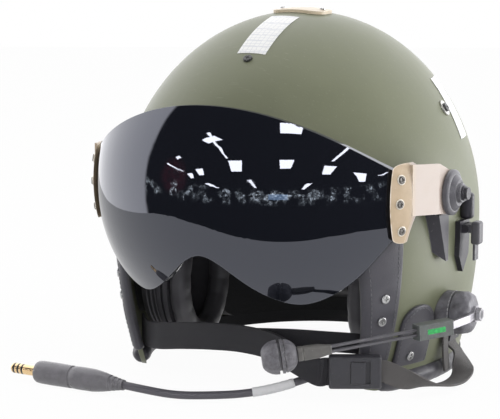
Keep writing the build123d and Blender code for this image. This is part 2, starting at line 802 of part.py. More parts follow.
lock_pin = rod(
    (lock_hinge_x, lock_hinge_y - ear_outer_y, lock_hinge_z),
    (lock_hinge_x, lock_hinge_y + ear_outer_y, lock_hinge_z),
    lock_pin_radius,
)
lock_lever = rod(
    (lock_hinge_x, lock_hinge_y - lock_lever_half_width, lock_hinge_z),
    (lock_hinge_x, lock_hinge_y + lock_lever_half_width, lock_hinge_z), lock_knuckle_radius,
)
lock_lever += block(
    (lock_hinge_x, lock_hinge_y - lock_lever_half_width, lock_hinge_z - lock_knuckle_radius),
    (grip_inner_x + grip_rounding, lock_hinge_y + lock_lever_half_width, lock_hinge_z + lock_knuckle_radius),
)
grip = block(
    (grip_inner_x, lock_hinge_y - grip_half_width, grip_low), (grip_outer_x, lock_hinge_y + grip_half_width, grip_high)
)
lock_lever += fillet(grip.edges(), grip_rounding)
lock_lever += block(
    (grip_inner_x + blade_wall, lock_hinge_y - blade_half_width, blade_foot),
    (grip_inner_x + blade_wall * 2, lock_hinge_y + blade_half_width, grip_low + grip_rounding),
)
lock_bore = rod(
    (lock_hinge_x, lock_hinge_y - far, lock_hinge_z), (lock_hinge_x, lock_hinge_y + far, lock_hinge_z),
    lock_pin_radius + running_gap,
)
lock_lever -= lock_bore
lock_pocket_half_width = lock_lever_half_width + side_gap
lock_base -= rod(
    (lock_hinge_x, lock_hinge_y - lock_pocket_half_width, lock_hinge_z),
    (lock_hinge_x, lock_hinge_y + lock_pocket_half_width, lock_hinge_z), lock_knuckle_radius + side_gap,
)
lock_base += lock_pin
housing_x = skin_plane(housing_y, (housing_low + housing_high) / 2).origin.X + housing_radius * housing_seat_share
lock_housing = rod((housing_x, housing_y, housing_low), (housing_x, housing_y, housing_high), housing_radius)
lock_housing = fillet(lock_housing.edges(), housing_radius * housing_rounding_share) - dome(glue_gap)
parts["lock_base"] = lock_base
parts["lock_lever"] = lock_lever
parts["lock_housing"] = lock_housing

# Boom mount: a round hub on the shell and a cap that turns on its post
hub_y = -15
hub_z = 50
hub_radius = 14.5
hub_proud = 2.5
cap_depth = 13.5
hub_rounding = 4
boom_post_radius = 3
boom_post_length = 5.5
boom_nut_radius = 4.6
boom_nut_gap = 0.3
boom_lever_wall = 2.2
boom_lever_half_height = 2.6
boom_lever_eye = 5.6
boom_bend_length = 13

# The boom's straight line, from the clamp towards the wearer's mouth
clamp_shares = (1.032, -0.4178, 0.4411)
rods_end_shares = (0.6432, -0.8904, 0.3981)
clamp_length = 27
clamp_height = 10.5
clamp_depth = 9
boom_rod_radius = 1.2
boom_rod_spacing = 3.4
key_length = 14
key_height = 3.4
key_depth = 1.6
key_travel = 1
key_gap = 0.15

clamp_middle = share_place(clamp_shares)
rods_end = share_place(rods_end_shares)
hub_split_x = dome_half_width + hub_proud
hub_end_x = hub_split_x + cap_depth
boom_post_end_x = hub_end_x + boom_post_length
boom_bend_y = hub_y - boom_bend_length
hub = rod((0, hub_y, hub_z), (hub_split_x, hub_y, hub_z), hub_radius) - dome(glue_gap)
hub = hub.solids().sort_by(Axis.X)[-1]
boom_post = rod((hub_split_x, hub_y, hub_z), (boom_post_end_x, hub_y, hub_z), boom_post_radius)
cap = rod((hub_split_x + soft_gap, hub_y, hub_z), (hub_end_x, hub_y, hub_z), hub_radius)
cap = fillet(cap.edges().group_by(Axis.X)[-1], hub_rounding)
boom_bore = rod((hub_split_x, hub_y, hub_z), (far, hub_y, hub_z), boom_post_radius + running_gap)
cap -= boom_bore

boom_line = Vector(*rods_end) - Vector(*clamp_middle)
clamp_plane = Plane(origin=clamp_middle, x_dir=boom_line, z_dir=(-boom_line.Y, boom_line.X, 0))
clamp_box = fillet(Box(clamp_length, clamp_height, clamp_depth).edges().filter_by(Axis.X), key_depth / 2)
rod_offset = boom_rod_spacing / 2
boom_length = boom_line.length
key_floor = clamp_depth / 2 - key_depth - key_travel
for height in (-rod_offset, rod_offset):
    clamp_box -= Pos(0, height, 0) * Rot(0, 90, 0) * Cylinder(boom_rod_radius + running_gap, clamp_length * 2)
key_pocket = Pos(0, 0, key_floor) * Box(
    key_length + key_gap * 2, key_height + key_gap * 2, clamp_depth, align=(Align.CENTER, Align.CENTER, Align.MIN)
)
clamp_box -= key_pocket
key = Pos(0, 0, key_floor + key_travel) * Box(
    key_length, key_height, key_depth, align=(Align.CENTER, Align.CENTER, Align.MIN)
)
rods = []
for height in (-rod_offset, rod_offset):
    bar = Pos(-clamp_length / 3, height, 0) * Rot(0, 90, 0) * Cylinder(
        boom_rod_radius, boom_length + clamp_length / 3, align=(Align.CENTER, Align.CENTER, Align.MIN)
    )
    rods.append(clamp_plane * bar)
clamp = clamp_plane * clamp_box
lever_x = hub_end_x + boom_lever_wall / 2
clamp_back = clamp_plane.from_local_coords((-clamp_length / 2, 0, 0))
lever_side = make_face(
    Polyline(
        (hub_y, hub_z - boom_lever_half_height), (hub_y, hub_z + boom_lever_half_height),
        (clamp_back.Y - clamp_depth / 2, clamp_back.Z + boom_lever_half_height),
        (clamp_back.Y - clamp_depth / 2, clamp_back.Z - boom_lever_half_height), close=True,
    )
)
lever_side += Pos(hub_y, hub_z) * Circle(boom_lever_eye)
boom_lever = side_arm(
    [(clamp_back.X, clamp_back.Y), (lever_x, boom_bend_y), (lever_x, hub_y + far)], boom_lever_wall, lever_side
)
boom_lever = boom_lever - clamp_plane * Box(clamp_length, clamp_height * 2, clamp_depth * 2) - boom_bore
nut_x = hub_end_x + boom_lever_wall + boom_nut_gap
nut_plane = Plane(origin=(nut_x, hub_y, hub_z), z_dir=(1, 0, 0))
boom_nut = extrude(nut_plane * RegularPolygon(boom_nut_radius, 6), boom_post_end_x - nut_x)
boom_nut -= boom_bore
parts["boom_hub"] = hub + boom_post
parts["boom_nut"] = boom_nut
parts["boom_cap"] = cap
parts["boom_lever"] = boom_lever
parts["boom_clamp"] = clamp
parts["boom_lock_key"] = clamp_plane * key
parts["boom_rods"] = group(*rods)

# Microphone: a holder on the rods' end and a capsule of two halves
mic_shares = (0.44, -0.989, 0.3607)
mic_radius = 11.6
mic_half_length = 11.6
mic_groove = 1.4
mic_groove_depth = 2.6
mic_nose_radius = 6
mic_neck_radius = 3
mic_neck_length = 6
holder_height = 9
holder_depth = 7
holder_tail = 5

mic_middle = share_place(mic_shares)
to_holder = (Vector(*rods_end) - Vector(*mic_middle)).normalized()
mic_plane = Plane(origin=mic_middle, z_dir=to_holder)
rear_start = mic_groove / 2
mic_band_end = rear_start + mic_groove
mic_bulge_share = 0.76
mic_rear_profile = make_face([
    Polyline(
        (0, rear_start), (mic_radius - mic_groove_depth, rear_start), (mic_radius - mic_groove_depth, mic_band_end),
        (mic_radius, mic_band_end),
    ),
    ThreePointArc(
        (mic_radius, mic_band_end),
        (mic_nose_radius + (mic_radius - mic_nose_radius) * mic_bulge_share, mic_half_length * mic_bulge_share),
        (mic_nose_radius, mic_half_length),
    ),
    Polyline(
        (mic_nose_radius, mic_half_length), (mic_neck_radius, mic_half_length),
        (mic_neck_radius, mic_half_length + mic_neck_length), (0, mic_half_length + mic_neck_length), (0, rear_start),
    ),
])
nose_start = -mic_half_length
mic_front_profile = make_face([
    Polyline(
        (0, nose_start), (0, rear_start), (mic_radius - mic_groove_depth, rear_start),
        (mic_radius - mic_groove_depth, -mic_groove / 2), (mic_radius, -mic_groove / 2),
    ),
    ThreePointArc(
        (mic_radius, -mic_groove / 2),
        (mic_nose_radius + (mic_radius - mic_nose_radius) * mic_bulge_share, nose_start * mic_bulge_share),
        (mic_nose_radius, nose_start),
    ),
    Line((mic_nose_radius, nose_start), (0, nose_start)),
])
mic_rear = mic_plane * revolve(Plane.XZ * mic_rear_profile, Axis.Z)
mic_front = mic_plane * revolve(Plane.XZ * mic_front_profile, Axis.Z)
holder_start = mic_half_length + screw_gap * 4
holder_length = (Vector(*rods_end) - Vector(*mic_middle)).length - holder_start + holder_tail
holder_plane = Plane(origin=mic_middle, x_dir=(0, 0, 1), z_dir=to_holder)
holder = Pos(0, 0, holder_start) * Box(
    holder_height, holder_depth, holder_length, align=(Align.CENTER, Align.CENTER, Align.MIN)
)
holder = fillet(holder.edges().filter_by(Axis.Z), holder_depth / 4)
holder -= Cylinder(
    mic_neck_radius + running_gap, (mic_half_length + mic_neck_length + screw_gap) * 2
)
holder = holder_plane * holder
for height in (-rod_offset, rod_offset):
    holder -= clamp_plane * Pos(0, height, 0) * Rot(0, 90, 0) * Cylinder(
        boom_rod_radius + screw_gap, boom_length + screw_gap, align=(Align.CENTER, Align.CENTER, Align.MIN)
    )
parts["mic_holder"] = holder.solids().sort_by(SortBy.VOLUME)[-1]
parts["mic_rear"] = mic_rear
parts["mic_front"] = mic_front

# Chin strap buckle with its sliding release
buckle_shares = (0.694, -0.6438, 0.1963)
buckle_across = (0.9, 0.436, 0)
buckle_length = 35
buckle_height = 22.5
buckle_depth = 9
buckle_rounding = 1.8
buckle_pocket_depth = 8
release_half_length = 5
release_place = 2
release_height = 15
release_depth = 3
release_proud = 1
release_travel = 3
release_gap = 0.25
strap_wall = 1.6
strap_width = 19
inner_strap_width = 14
webbing_width = 15
webbing_wall = 1.4

buckle_middle = share_place(buckle_shares)
buckle_plane = Plane(origin=buckle_middle, x_dir=buckle_across, z_dir=(buckle_across[1], -buckle_across[0], 0))
buckle = fillet(Box(buckle_length, buckle_height, buckle_depth).edges(), buckle_rounding)
pocket_height = strap_width + soft_gap * 2
pocket_width = strap_wall + soft_gap * 2
for side in (-1, 1):
    buckle -= Pos(side * buckle_length / 2, 0, 0) * Box(buckle_pocket_depth * 2, pocket_height, pocket_width)
release_slot_length = release_half_length * 2 + release_travel + release_gap * 2
release_floor = buckle_depth / 2 - release_depth + release_proud
buckle -= Pos(release_place + release_travel / 2, 0, release_floor) * Box(
    release_slot_length, release_height + release_gap * 2, buckle_depth, align=(Align.CENTER, Align.CENTER, Align.MIN)
)
release = Pos(release_place, 0, release_floor) * Box(
    release_half_length * 2, release_height, release_depth, align=(Align.CENTER, Align.CENTER, Align.MIN)
)
release = fillet(release.edges().group_by(Axis.Z)[-1], release_proud / 2)
parts["buckle_body"] = buckle_plane * buckle
parts["buckle_release"] = buckle_plane * release


def ribbon(route, width_directions, width, wall):
    """Flat strap through a list of points, its width along a direction at each."""
    points = [Vector(*point) for point in route]
    sections = []
    for index, point in enumerate(points):
        before = points[max(index - 1, 0)]
        after = points[min(index + 1, len(points) - 1)]
        plane = Plane(origin=point, x_dir=width_directions[index], z_dir=after - before)
        sections.append(plane * Rectangle(width, wall))
    return loft(sections, ruled=True)


# Chin strap: a wide band from the right lobe to the buckle, and an inner band on the left
upright = (0, 0, 1)
buckle_mouth_gap = 2
buckle_lead_gap = 8
chin_strap_shares = (
    (-0.765, -0.384, 0.243), (-0.696, -0.466, 0.245), (-0.632, -0.534, 0.25), (-0.528, -0.586, 0.262),
    (-0.368, -0.627, 0.294), (-0.176, -0.658, 0.322), (0.032, -0.678, 0.336), (0.224, -0.695, 0.318),
    (0.352, -0.715, 0.27),
)
inner_strap_shares = (
    (0.705, -0.49, 0.318), (0.624, -0.534, 0.336), (0.496, -0.582, 0.346), (0.32, -0.635, 0.355),
    (0.128, -0.673, 0.35),
)

strap_lead = buckle_plane.from_local_coords((-buckle_length / 2 - buckle_lead_gap, 0, 0))
strap_mouth = buckle_plane.from_local_coords((-buckle_length / 2 - buckle_mouth_gap, 0, 0))
strap_end = buckle_plane.from_local_coords((-buckle_length / 2 + buckle_pocket_depth - soft_gap, 0, 0))
chin_route = [share_place(shares) for shares in chin_strap_shares]
chin_route += [tuple(strap_lead), tuple(strap_mouth), tuple(strap_end)]
parts["chin_strap"] = ribbon(chin_route, [upright] * len(chin_route), strap_width, strap_wall)
inner_route = [share_place(shares) for shares in inner_strap_shares]
parts["chin_strap_inner"] = ribbon(inner_route, [upright] * len(inner_route), inner_strap_width, strap_wall)

# Webbing from the buckle round the outside of the left lobe to its anchor on the shell
anchor_y = 5
anchor_low = 25
anchor_high = 40
anchor_plate_wall = 1.2
anchor_plate_half_width = 9
anchor_screw_z = 33
anchor_lap = 1.5
webbing_shares = (
    (0.9, -0.535, 0.15), (0.95, -0.47, 0.105), (0.996, -0.39, 0.07), (1.036, -0.292, 0.045),
    (1.056, -0.178, 0.036), (1.05, -0.068, 0.055), (1.016, 0.007, 0.103), (0.976, 0.033, 0.168),
)
webbing_turn_shares = (
    (0.2, -0.1, 1), (0.7, -0.2, 0.7), (1, -0.2, 0.25), (1, -0.1, 0.1), (1, 0.1, 0.1), (0.9, 0.5, 0.2), (0.3, 1, 0.1),
    (-0.1, 1, 0),
)

webbing_start = buckle_plane.from_local_coords((buckle_length / 2 - buckle_pocket_depth + soft_gap, 0, 0))
webbing_mouth = buckle_plane.from_local_coords((buckle_length / 2 + buckle_mouth_gap, 0, 0))
webbing_lift = glue_gap + webbing_wall / 2
webbing_end = [tuple(skin_plane(anchor_y, height, webbing_lift).origin) for height in (anchor_low, anchor_high)]
webbing_route = [tuple(webbing_start), tuple(webbing_mouth)]
webbing_route += [share_place(shares) for shares in webbing_shares] + webbing_end
webbing_turns = [upright, upright, *webbing_turn_shares, (0, 1, 0), (0, 1, 0)]
webbing = ribbon(webbing_route, webbing_turns, webbing_width, webbing_wall)
webbing -= dome(glue_gap / 3)
anchor_seat = skin_plane(anchor_y, anchor_screw_z, glue_gap * 2 + webbing_wall)
anchor_plate = extrude(
    anchor_seat * RectangleRounded(anchor_plate_half_width * 2, anchor_high - anchor_low - anchor_lap, anchor_lap),
    anchor_plate_wall,
)
anchor_screw_seat = skin_plane(anchor_y, anchor_screw_z, glue_gap * 2 + webbing_wall + anchor_plate_wall)
lobe_screws = lobe_screws + [other_side(one) for one in lobe_screws] + [anchor_screw_seat * lobe_screw]
anchor_plate -= anchor_screw_seat * lobe_screw_hole
webbing -= anchor_screw_seat * lobe_screw_hole
shell -= anchor_screw_seat * lobe_screw_hole
parts["chin_strap_left"] = webbing
parts["strap_anchor"] = anchor_plate
parts["lobe_screws"] = group(*lobe_screws)

# Short free end of the webbing, hanging in front of the anchor
tail_width = 9
tail_shares = (
    (0.9456, -0.068, 0.308), (0.9456, -0.068, 0.224), (0.95, -0.068, 0.14), (0.957, -0.068, 0.065),
)
tail_route = [share_place(shares) for shares in tail_shares]
parts["strap_tail"] = ribbon(tail_route, [(0, 1, 0)] * len(tail_route), tail_width, webbing_wall)

# Plug lead: leaves the left ear cup, drops to the table and ends in a four-contact plug
cord_radius = 2.7
gland_base_radius = 5.5
gland_tip_radius = 3.6
gland_length = 16
sleeve_radius = 3.35
braid_radius = 3.2
sleeve_gap = 0.12
plug_tip_point = (-152, -140.5, 8)
plug_tail_point = (-58, -149.5, 8)
plug_radius = 8
plug_tail_radius = 3.6
plug_contact_length = 22
plug_body_length = 60
plug_contact_radius = 3.57
plug_ring_width = 1.6
plug_nose_radius = 2.2
plug_shoulder = 2

gland_point = (85, -53, 26.5)
cord_route = [
    gland_point, (78.5, -70, 23.5), (66.5, -86.5, 18.5), (51.5, -98.5, 12.5), (34, -109, 6.6), (16, -119.5, 3.4),
    (-3, -131, 2.9), (-22, -143, 3.6), (-40, -150.5, 6.8), plug_tail_point,
]


def cord_radii(route):
    """Arc radius for each corner: as large as its two runs allow."""
    share = 0.45
    points = [Vector(*point) for point in route]
    radii = []
    for before, corner, after in zip(points, points[1:], points[2:]):
        turn = radians((corner - before).get_angle(after - corner))
        run = min((corner - before).length, (after - corner).length)
        radii.append(share * run / tan(turn / 2))
    return radii


cord_arcs = cord_radii(cord_route)
print("cord radii", [round(radius, 1) for radius in cord_arcs])
cord_path = FilletPolyline(*cord_route, radius=cord_arcs)


def tube_on(path, radius):
    """Tube of one radius along a path."""
    return sweep(Plane(origin=path @ 0, z_dir=path % 0) * Circle(radius), path=path)


cord = tube_on(cord_path, cord_radius)
cord_volume_share = cord.volume / (pi * cord_radius**2 * cord_path.length)
print("cord length", round(cord_path.length, 1), "volume share", round(cord_volume_share, 4))
cord_edges = cord_path.edges()


def sleeve_on(first, last, radius):
    """Sleeve round the cord over some of its runs and arcs."""
    stretch = Wire(cord_edges[first:last])
    return tube_on(stretch, radius) - tube_on(stretch, cord_radius + sleeve_gap)


parts["comms_cord"] = cord
parts["braided_sleeve"] = sleeve_on(0, 5, braid_radius)
parts["marker_sleeve"] = sleeve_on(6, 9, sleeve_radius)
cord_start = Vector(*cord_route[1]) - Vector(*gland_point)
gland_plane = Plane(origin=gland_point, z_dir=cord_start * -1)
gland_flare = degrees(atan((gland_base_radius - gland_tip_radius) / gland_length))
gland = extrude(gland_plane * Circle(gland_tip_radius), gland_length, taper=-gland_flare)
cup_rim = ear_plane(cup_mouth_x) * Ellipse(seal_half_length + glue_gap, seal_half_height + glue_gap)
gland -= extrude(cup_rim, cup_rib_height * 3 + glue_gap)
parts["cord_gland"] = gland - cup_form(cup_back_x, glue_gap)

# Plug: overmoulded body, contacts and the insulating rings between them
plug_axis = (Vector(*plug_tip_point) - Vector(*plug_tail_point)).normalized()
plug_plane = Plane(origin=Vector(*plug_tail_point) + plug_axis * soft_gap, z_dir=plug_axis)
plug_length = (Vector(*plug_tip_point) - Vector(*plug_tail_point)).length
plug_body_end = plug_length - plug_contact_length
plug_tail_length = plug_body_end - plug_body_length
plug_waist_share, plug_swell_share = 0.72, 1.6
plug_profile = make_face(
    Polyline(
        (0, 0), (plug_tail_radius, 0), (plug_radius * plug_waist_share, plug_tail_length),
        (plug_radius, plug_tail_length + plug_radius * plug_swell_share),
        (plug_radius, plug_body_end - plug_shoulder), (plug_radius - plug_shoulder, plug_body_end),
        (0, plug_body_end), close=True,
    )
)
parts["plug_body"] = plug_plane * revolve(Plane.XZ * plug_profile, Axis.Z)
ring_count = 3
ring_pitch_share = 2.2
first_ring = plug_body_end + plug_contact_length / 2
contacts = extrude(Circle(plug_contact_radius), plug_contact_length)
contacts = fillet(contacts.edges().group_by(Axis.Z)[-1], plug_nose_radius)
contacts = Pos(0, 0, plug_body_end) * contacts
rings = []
for index in range(ring_count):
    place = first_ring + plug_ring_width * ring_pitch_share * index
    ring = Pos(0, 0, place) * extrude(Circle(plug_contact_radius), plug_ring_width)
    ring -= Pos(0, 0, place) * extrude(Circle(plug_contact_radius - plug_ring_width / 2), plug_ring_width)
    rings.append(plug_plane * ring)
    contacts -= ring
parts["plug_contacts"] = plug_plane * contacts
parts["plug_rings"] = group(*rings)

parts["outer_shell"] = shell

for name, shape in parts.items():
    export_step(shape, f"parts/{name}.step")
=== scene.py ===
"""Looks of the pilot's flight helmet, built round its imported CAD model.

Metres in the scene. Sizes are written in millimetres and multiplied by mm.
"""
import json
import math

import bmesh
import bpy
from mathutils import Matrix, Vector

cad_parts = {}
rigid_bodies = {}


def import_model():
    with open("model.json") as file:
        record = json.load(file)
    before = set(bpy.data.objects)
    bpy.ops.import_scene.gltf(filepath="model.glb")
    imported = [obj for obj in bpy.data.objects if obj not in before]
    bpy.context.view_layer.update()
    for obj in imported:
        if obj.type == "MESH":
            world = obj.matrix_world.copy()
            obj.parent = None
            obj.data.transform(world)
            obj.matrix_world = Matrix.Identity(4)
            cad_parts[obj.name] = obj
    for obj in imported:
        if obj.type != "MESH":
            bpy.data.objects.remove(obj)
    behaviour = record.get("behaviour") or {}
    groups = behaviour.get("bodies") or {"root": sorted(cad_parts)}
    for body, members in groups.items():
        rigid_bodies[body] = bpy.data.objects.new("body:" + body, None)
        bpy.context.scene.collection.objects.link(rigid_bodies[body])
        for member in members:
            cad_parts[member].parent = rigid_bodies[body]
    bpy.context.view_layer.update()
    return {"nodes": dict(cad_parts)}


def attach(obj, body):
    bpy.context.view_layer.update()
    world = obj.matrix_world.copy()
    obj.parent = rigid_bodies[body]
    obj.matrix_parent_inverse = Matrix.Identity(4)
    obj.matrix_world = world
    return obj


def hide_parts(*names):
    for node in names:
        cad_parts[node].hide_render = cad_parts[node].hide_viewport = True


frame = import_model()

mm = 0.001
collection = bpy.context.scene.collection

# Camera: a long lens from the wearer's front left, a little above the table. It is aimed
# beside the helmet's middle, which places the helmet in the picture.
camera_azimuth = math.radians(25)
camera_elevation = math.radians(9)
camera_distance = 1500 * mm
camera_target = Vector((0, 0, 125)) * mm
aim_right = -33.6 * mm
aim_up = -15.4 * mm
sensor_width = 36
lens_length = 151.2

camera_back = Vector((
    math.sin(camera_azimuth) * math.cos(camera_elevation),
    -math.cos(camera_azimuth) * math.cos(camera_elevation),
    math.sin(camera_elevation),
))
camera_right = Vector((math.cos(camera_azimuth), math.sin(camera_azimuth), 0))
camera_up = camera_back.cross(camera_right)
camera_place = camera_target + camera_back * camera_distance
camera_aim = camera_target + camera_right * aim_right + camera_up * aim_up
camera_data = bpy.data.cameras.new("camera")
camera_data.sensor_width = sensor_width
camera_data.lens = lens_length
camera_data.clip_start = 0.05
camera = bpy.data.objects.new("camera", camera_data)
camera.location = camera_place
camera.rotation_mode = "QUATERNION"
camera.rotation_quaternion = (camera_aim - camera_place).to_track_quat("-Z", "Y")
collection.objects.link(camera)
bpy.context.scene.camera = camera
bpy.context.scene.view_settings.view_transform = "Standard"


# Comms cord: a round rubber lead that leaves the left ear cup, drops to the table
# and runs across to the plug. It keeps the route of the solid model.
cord_diameter = 5.4
cord_colour = (0.1, 0.096, 0.112)
cord_route = [
    (85, -53, 26.5), (78.5, -70, 23.5), (66.5, -86.5, 18.5), (51.5, -98.5, 12.5), (34, -109, 6.6),
    (16, -119.5, 3.4), (-3, -131, 2.9), (-22, -143, 3.6), (-40, -150.5, 6.8), (-58, -149.5, 8),
]


def add_node(tree, kind, inputs=None, **settings):
    """Node with its settings, and its inputs linked or set."""
    node = tree.nodes.new(kind)
    for name, value in settings.items():
        setattr(node, name, value)
    for name, value in (inputs or {}).items():
        if isinstance(value, bpy.types.NodeSocket):
            tree.links.new(value, node.inputs[name])
        else:
            node.inputs[name].default_value = value
    return node


def math_node(tree, operation, first, second=0.0, clamp=False):
    """Output of one sum on two values or sockets."""
    node = add_node(tree, "ShaderNodeMath", {0: first, 1: second}, operation=operation, use_clamp=clamp)
    return node.outputs[0]


def ramp_node(tree, value, low, high, to_low=0.0, to_high=1.0):
    """Output that goes smoothly from one number to another as a value rises."""
    inputs = {"Value": value, "From Min": low, "From Max": high, "To Min": to_low, "To Max": to_high}
    return add_node(tree, "ShaderNodeMapRange", inputs, interpolation_type="SMOOTHSTEP").outputs["Result"]


def dot_node(tree, first, second):
    """Output of the dot product of two directions."""
    return add_node(
        tree, "ShaderNodeVectorMath", {0: first, 1: second}, operation="DOT_PRODUCT",
    ).outputs["Value"]


def edge_mask(tree, width, flat, edge):
    """Output that rises from 0 on flat faces to 1 on edges, where a bevel would turn the surface."""
    round_normal = add_node(tree, "ShaderNodeBevel", {"Radius": width}, samples=4).outputs["Normal"]
    true_normal = add_node(tree, "ShaderNodeNewGeometry").outputs["Normal"]
    return ramp_node(tree, dot_node(tree, round_normal, true_normal), flat, edge)


def effect_group(name, inputs, outputs):
    """Empty shader node group with named sockets, its input node and its output node."""
    group = bpy.data.node_groups.new(name, "ShaderNodeTree")
    for label, default in inputs:
        kind = "NodeSocketColor" if isinstance(default, tuple) else "NodeSocketFloat"
        socket = group.interface.new_socket(name=label, in_out="INPUT", socket_type=kind)
        socket.default_value = (*default, 1) if isinstance(default, tuple) else default
    for label, kind in outputs:
        group.interface.new_socket(name=label, in_out="OUTPUT", socket_type=kind)
    return group, group.nodes.new("NodeGroupInput").outputs, group.nodes.new("NodeGroupOutput").inputs


# Surface effect of every finish: patches of tone, grain, dust and edges rubbed to another colour
finish_group, given, result = effect_group(
    "worn finish",
    [
        ("Colour", (0.1, 0.1, 0.1)), ("Worn colour", (0.3, 0.3, 0.3)), ("Tone", 0.2), ("Patch size", 12.0),
        ("Grain size", 0.6), ("Grain depth", 0.05), ("Roughness", 0.5), ("Roughness spread", 0.1),
        ("Edge wear", 0.0), ("Edge width", 0.6), ("Scuffs", 0.0),
    ],
    [("Colour", "NodeSocketColor"), ("Roughness", "NodeSocketFloat"), ("Normal", "NodeSocketVector")],
)
places = add_node(finish_group, "ShaderNodeTexCoord").outputs["Object"]
patch_scale = math_node(finish_group, "DIVIDE", 1 / mm, given["Patch size"])
grain_scale = math_node(finish_group, "DIVIDE", 1 / mm, given["Grain size"])
patches = add_node(
    finish_group, "ShaderNodeTexNoise", {
        "Vector": places, "Scale": patch_scale, "Detail": 4.0, "Roughness": 0.6,
    }
).outputs["Fac"]
grain = add_node(
    finish_group, "ShaderNodeTexNoise", {"Vector": places, "Scale": grain_scale, "Detail": 2.0}
).outputs["Fac"]
streaks = add_node(
    finish_group, "ShaderNodeTexNoise",
    {
        "Vector": add_node(
            finish_group, "ShaderNodeMapping", {
                "Vector": places, "Rotation": (0.3, 0.5, 0.2), "Scale": (60, 1400, 700),
            }
        ).outputs["Vector"],
        "Scale": 1.0, "Detail": 3.0,
    },
).outputs["Fac"]
tone_shift = math_node(
    finish_group, "MULTIPLY", math_node(finish_group, "SUBTRACT", patches, 0.5), given["Tone"],
)
tone_value = math_node(finish_group, "ADD", 1.0, tone_shift)
toned = add_node(
    finish_group, "ShaderNodeHueSaturation", {"Color": given["Colour"], "Value": tone_value},
).outputs[0]
bevel_width = math_node(finish_group, "MULTIPLY", given["Edge width"], mm)
edges = edge_mask(finish_group, bevel_width, 0.995, 0.9)
worn = math_node(finish_group, "MULTIPLY", edges, ramp_node(finish_group, patches, 0.35, 0.6))
worn = math_node(finish_group, "MULTIPLY", worn, given["Edge wear"])
scuffed = math_node(finish_group, "MULTIPLY", ramp_node(finish_group, streaks, 0.66, 0.72), given["Scuffs"])
worn = math_node(finish_group, "MAXIMUM", worn, scuffed, clamp=True)
mixed = add_node(
    finish_group, "ShaderNodeMix", {0: worn, 6: toned, 7: given["Worn colour"]}, data_type="RGBA",
)
finish_group.links.new(mixed.outputs[2], result["Colour"])
spread = math_node(
    finish_group, "MULTIPLY", math_node(finish_group, "SUBTRACT", patches, 0.5), given["Roughness spread"],
)
rough = math_node(finish_group, "ADD", given["Roughness"], spread)
finish_group.links.new(rough, result["Roughness"])
grain_height = math_node(finish_group, "MULTIPLY", given["Grain depth"], mm)
bump = add_node(finish_group, "ShaderNodeBump", {"Height": grain, "Distance": grain_height})
finish_group.links.new(bump.outputs["Normal"], result["Normal"])


def finish(name, colour, shader=None, **values):
    """Material with the worn finish, its values by name and the shader's own settings."""
    material = bpy.data.materials.new(name)
    material.use_nodes = True
    tree = material.node_tree
    surface = tree.nodes["Principled BSDF"]
    effect = add_node(tree, "ShaderNodeGroup", node_tree=finish_group, name="finish")
    effect.inputs["Colour"].default_value = (*colour, 1)
    for label, value in values.items():
        socket = effect.inputs[label.replace("_", " ").capitalize()]
        socket.default_value = (*value, 1) if isinstance(value, tuple) else value
    for label, value in (shader or {}).items():
        surface.inputs[label].default_value = value
    tree.links.new(effect.outputs["Colour"], surface.inputs["Base Color"])
    tree.links.new(effect.outputs["Roughness"], surface.inputs["Roughness"])
    tree.links.new(effect.outputs["Normal"], surface.inputs["Normal"])
    return material


def plain_line(curve_object):
    """Points in millimetres of a curve's own line."""
    copy = curve_object.data.copy()
    copy.bevel_depth = 0
    stand_in = bpy.data.objects.new("line", copy)
    collection.objects.link(stand_in)
    bpy.context.view_layer.update()
    line = bpy.data.meshes.new_from_object(stand_in.evaluated_get(bpy.context.evaluated_depsgraph_get()))
    points = [vertex.co / mm for vertex in line.vertices]
    bpy.data.objects.remove(stand_in)
    bpy.data.meshes.remove(line)
    return points


cord_rubber = finish(
    "cord rubber", cord_colour, Tone=0.25, Patch_size=9.0, Grain_size=0.5, Grain_depth=0.04, Roughness=0.42,
    Roughness_spread=0.2,
)
cord_data = bpy.data.curves.new("comms_cord_line", "CURVE")
cord_data.dimensions = "3D"
cord_data.bevel_depth = cord_diameter / 2 * mm
cord_data.bevel_resolution = 6
cord_data.resolution_u = 10
cord_data.use_fill_caps = True
cord_spline = cord_data.splines.new("NURBS")
cord_spline.points.add(len(cord_route) - 1)
for control, place in zip(cord_spline.points, cord_route):
    control.co = (*[value * mm for value in place], 1)
cord_spline.order_u = 3
cord_spline.use_endpoint_u = True
cord_data.materials.append(cord_rubber)
comms_cord = bpy.data.objects.new("comms_lead", cord_data)
collection.objects.link(comms_cord)
cord_line = plain_line(comms_cord)


# Braided sleeve: black plaited yarn over the first part of the cord, clipped off square.
# Two sets of strands wind in opposite directions over a thin dark tube.
braid_start = 3
braid_end = 53
braid_core_radius = 2.95
braid_strand_radius = 0.34
braid_swell = 0.16
braid_turn_length = 17
braid_strands = 8
braid_step = 0.5
braid_colour = (0.05, 0.048, 0.055)


def face_outwards(mesh):
    """Turns all the faces of a closed mesh outwards."""
    builder = bmesh.new()
    builder.from_mesh(mesh)
    bmesh.ops.recalc_face_normals(builder, faces=builder.faces)
    builder.to_mesh(mesh)
    builder.free()


def mesh_piece(name, points, faces, material, levels=0):
    """Piece from points in millimetres, faces outwards, with levels of subdivision."""
    mesh = bpy.data.meshes.new(name)
    mesh.from_pydata([Vector(point) * mm for point in points], [], faces)
    face_outwards(mesh)
    mesh.shade_smooth()
    mesh.materials.append(material)
    piece = bpy.data.objects.new(name, mesh)
    collection.objects.link(piece)
    if levels:
        smoothing = piece.modifiers.new("smoothing", "SUBSURF")
        smoothing.levels = levels
        smoothing.render_levels = levels
    return piece


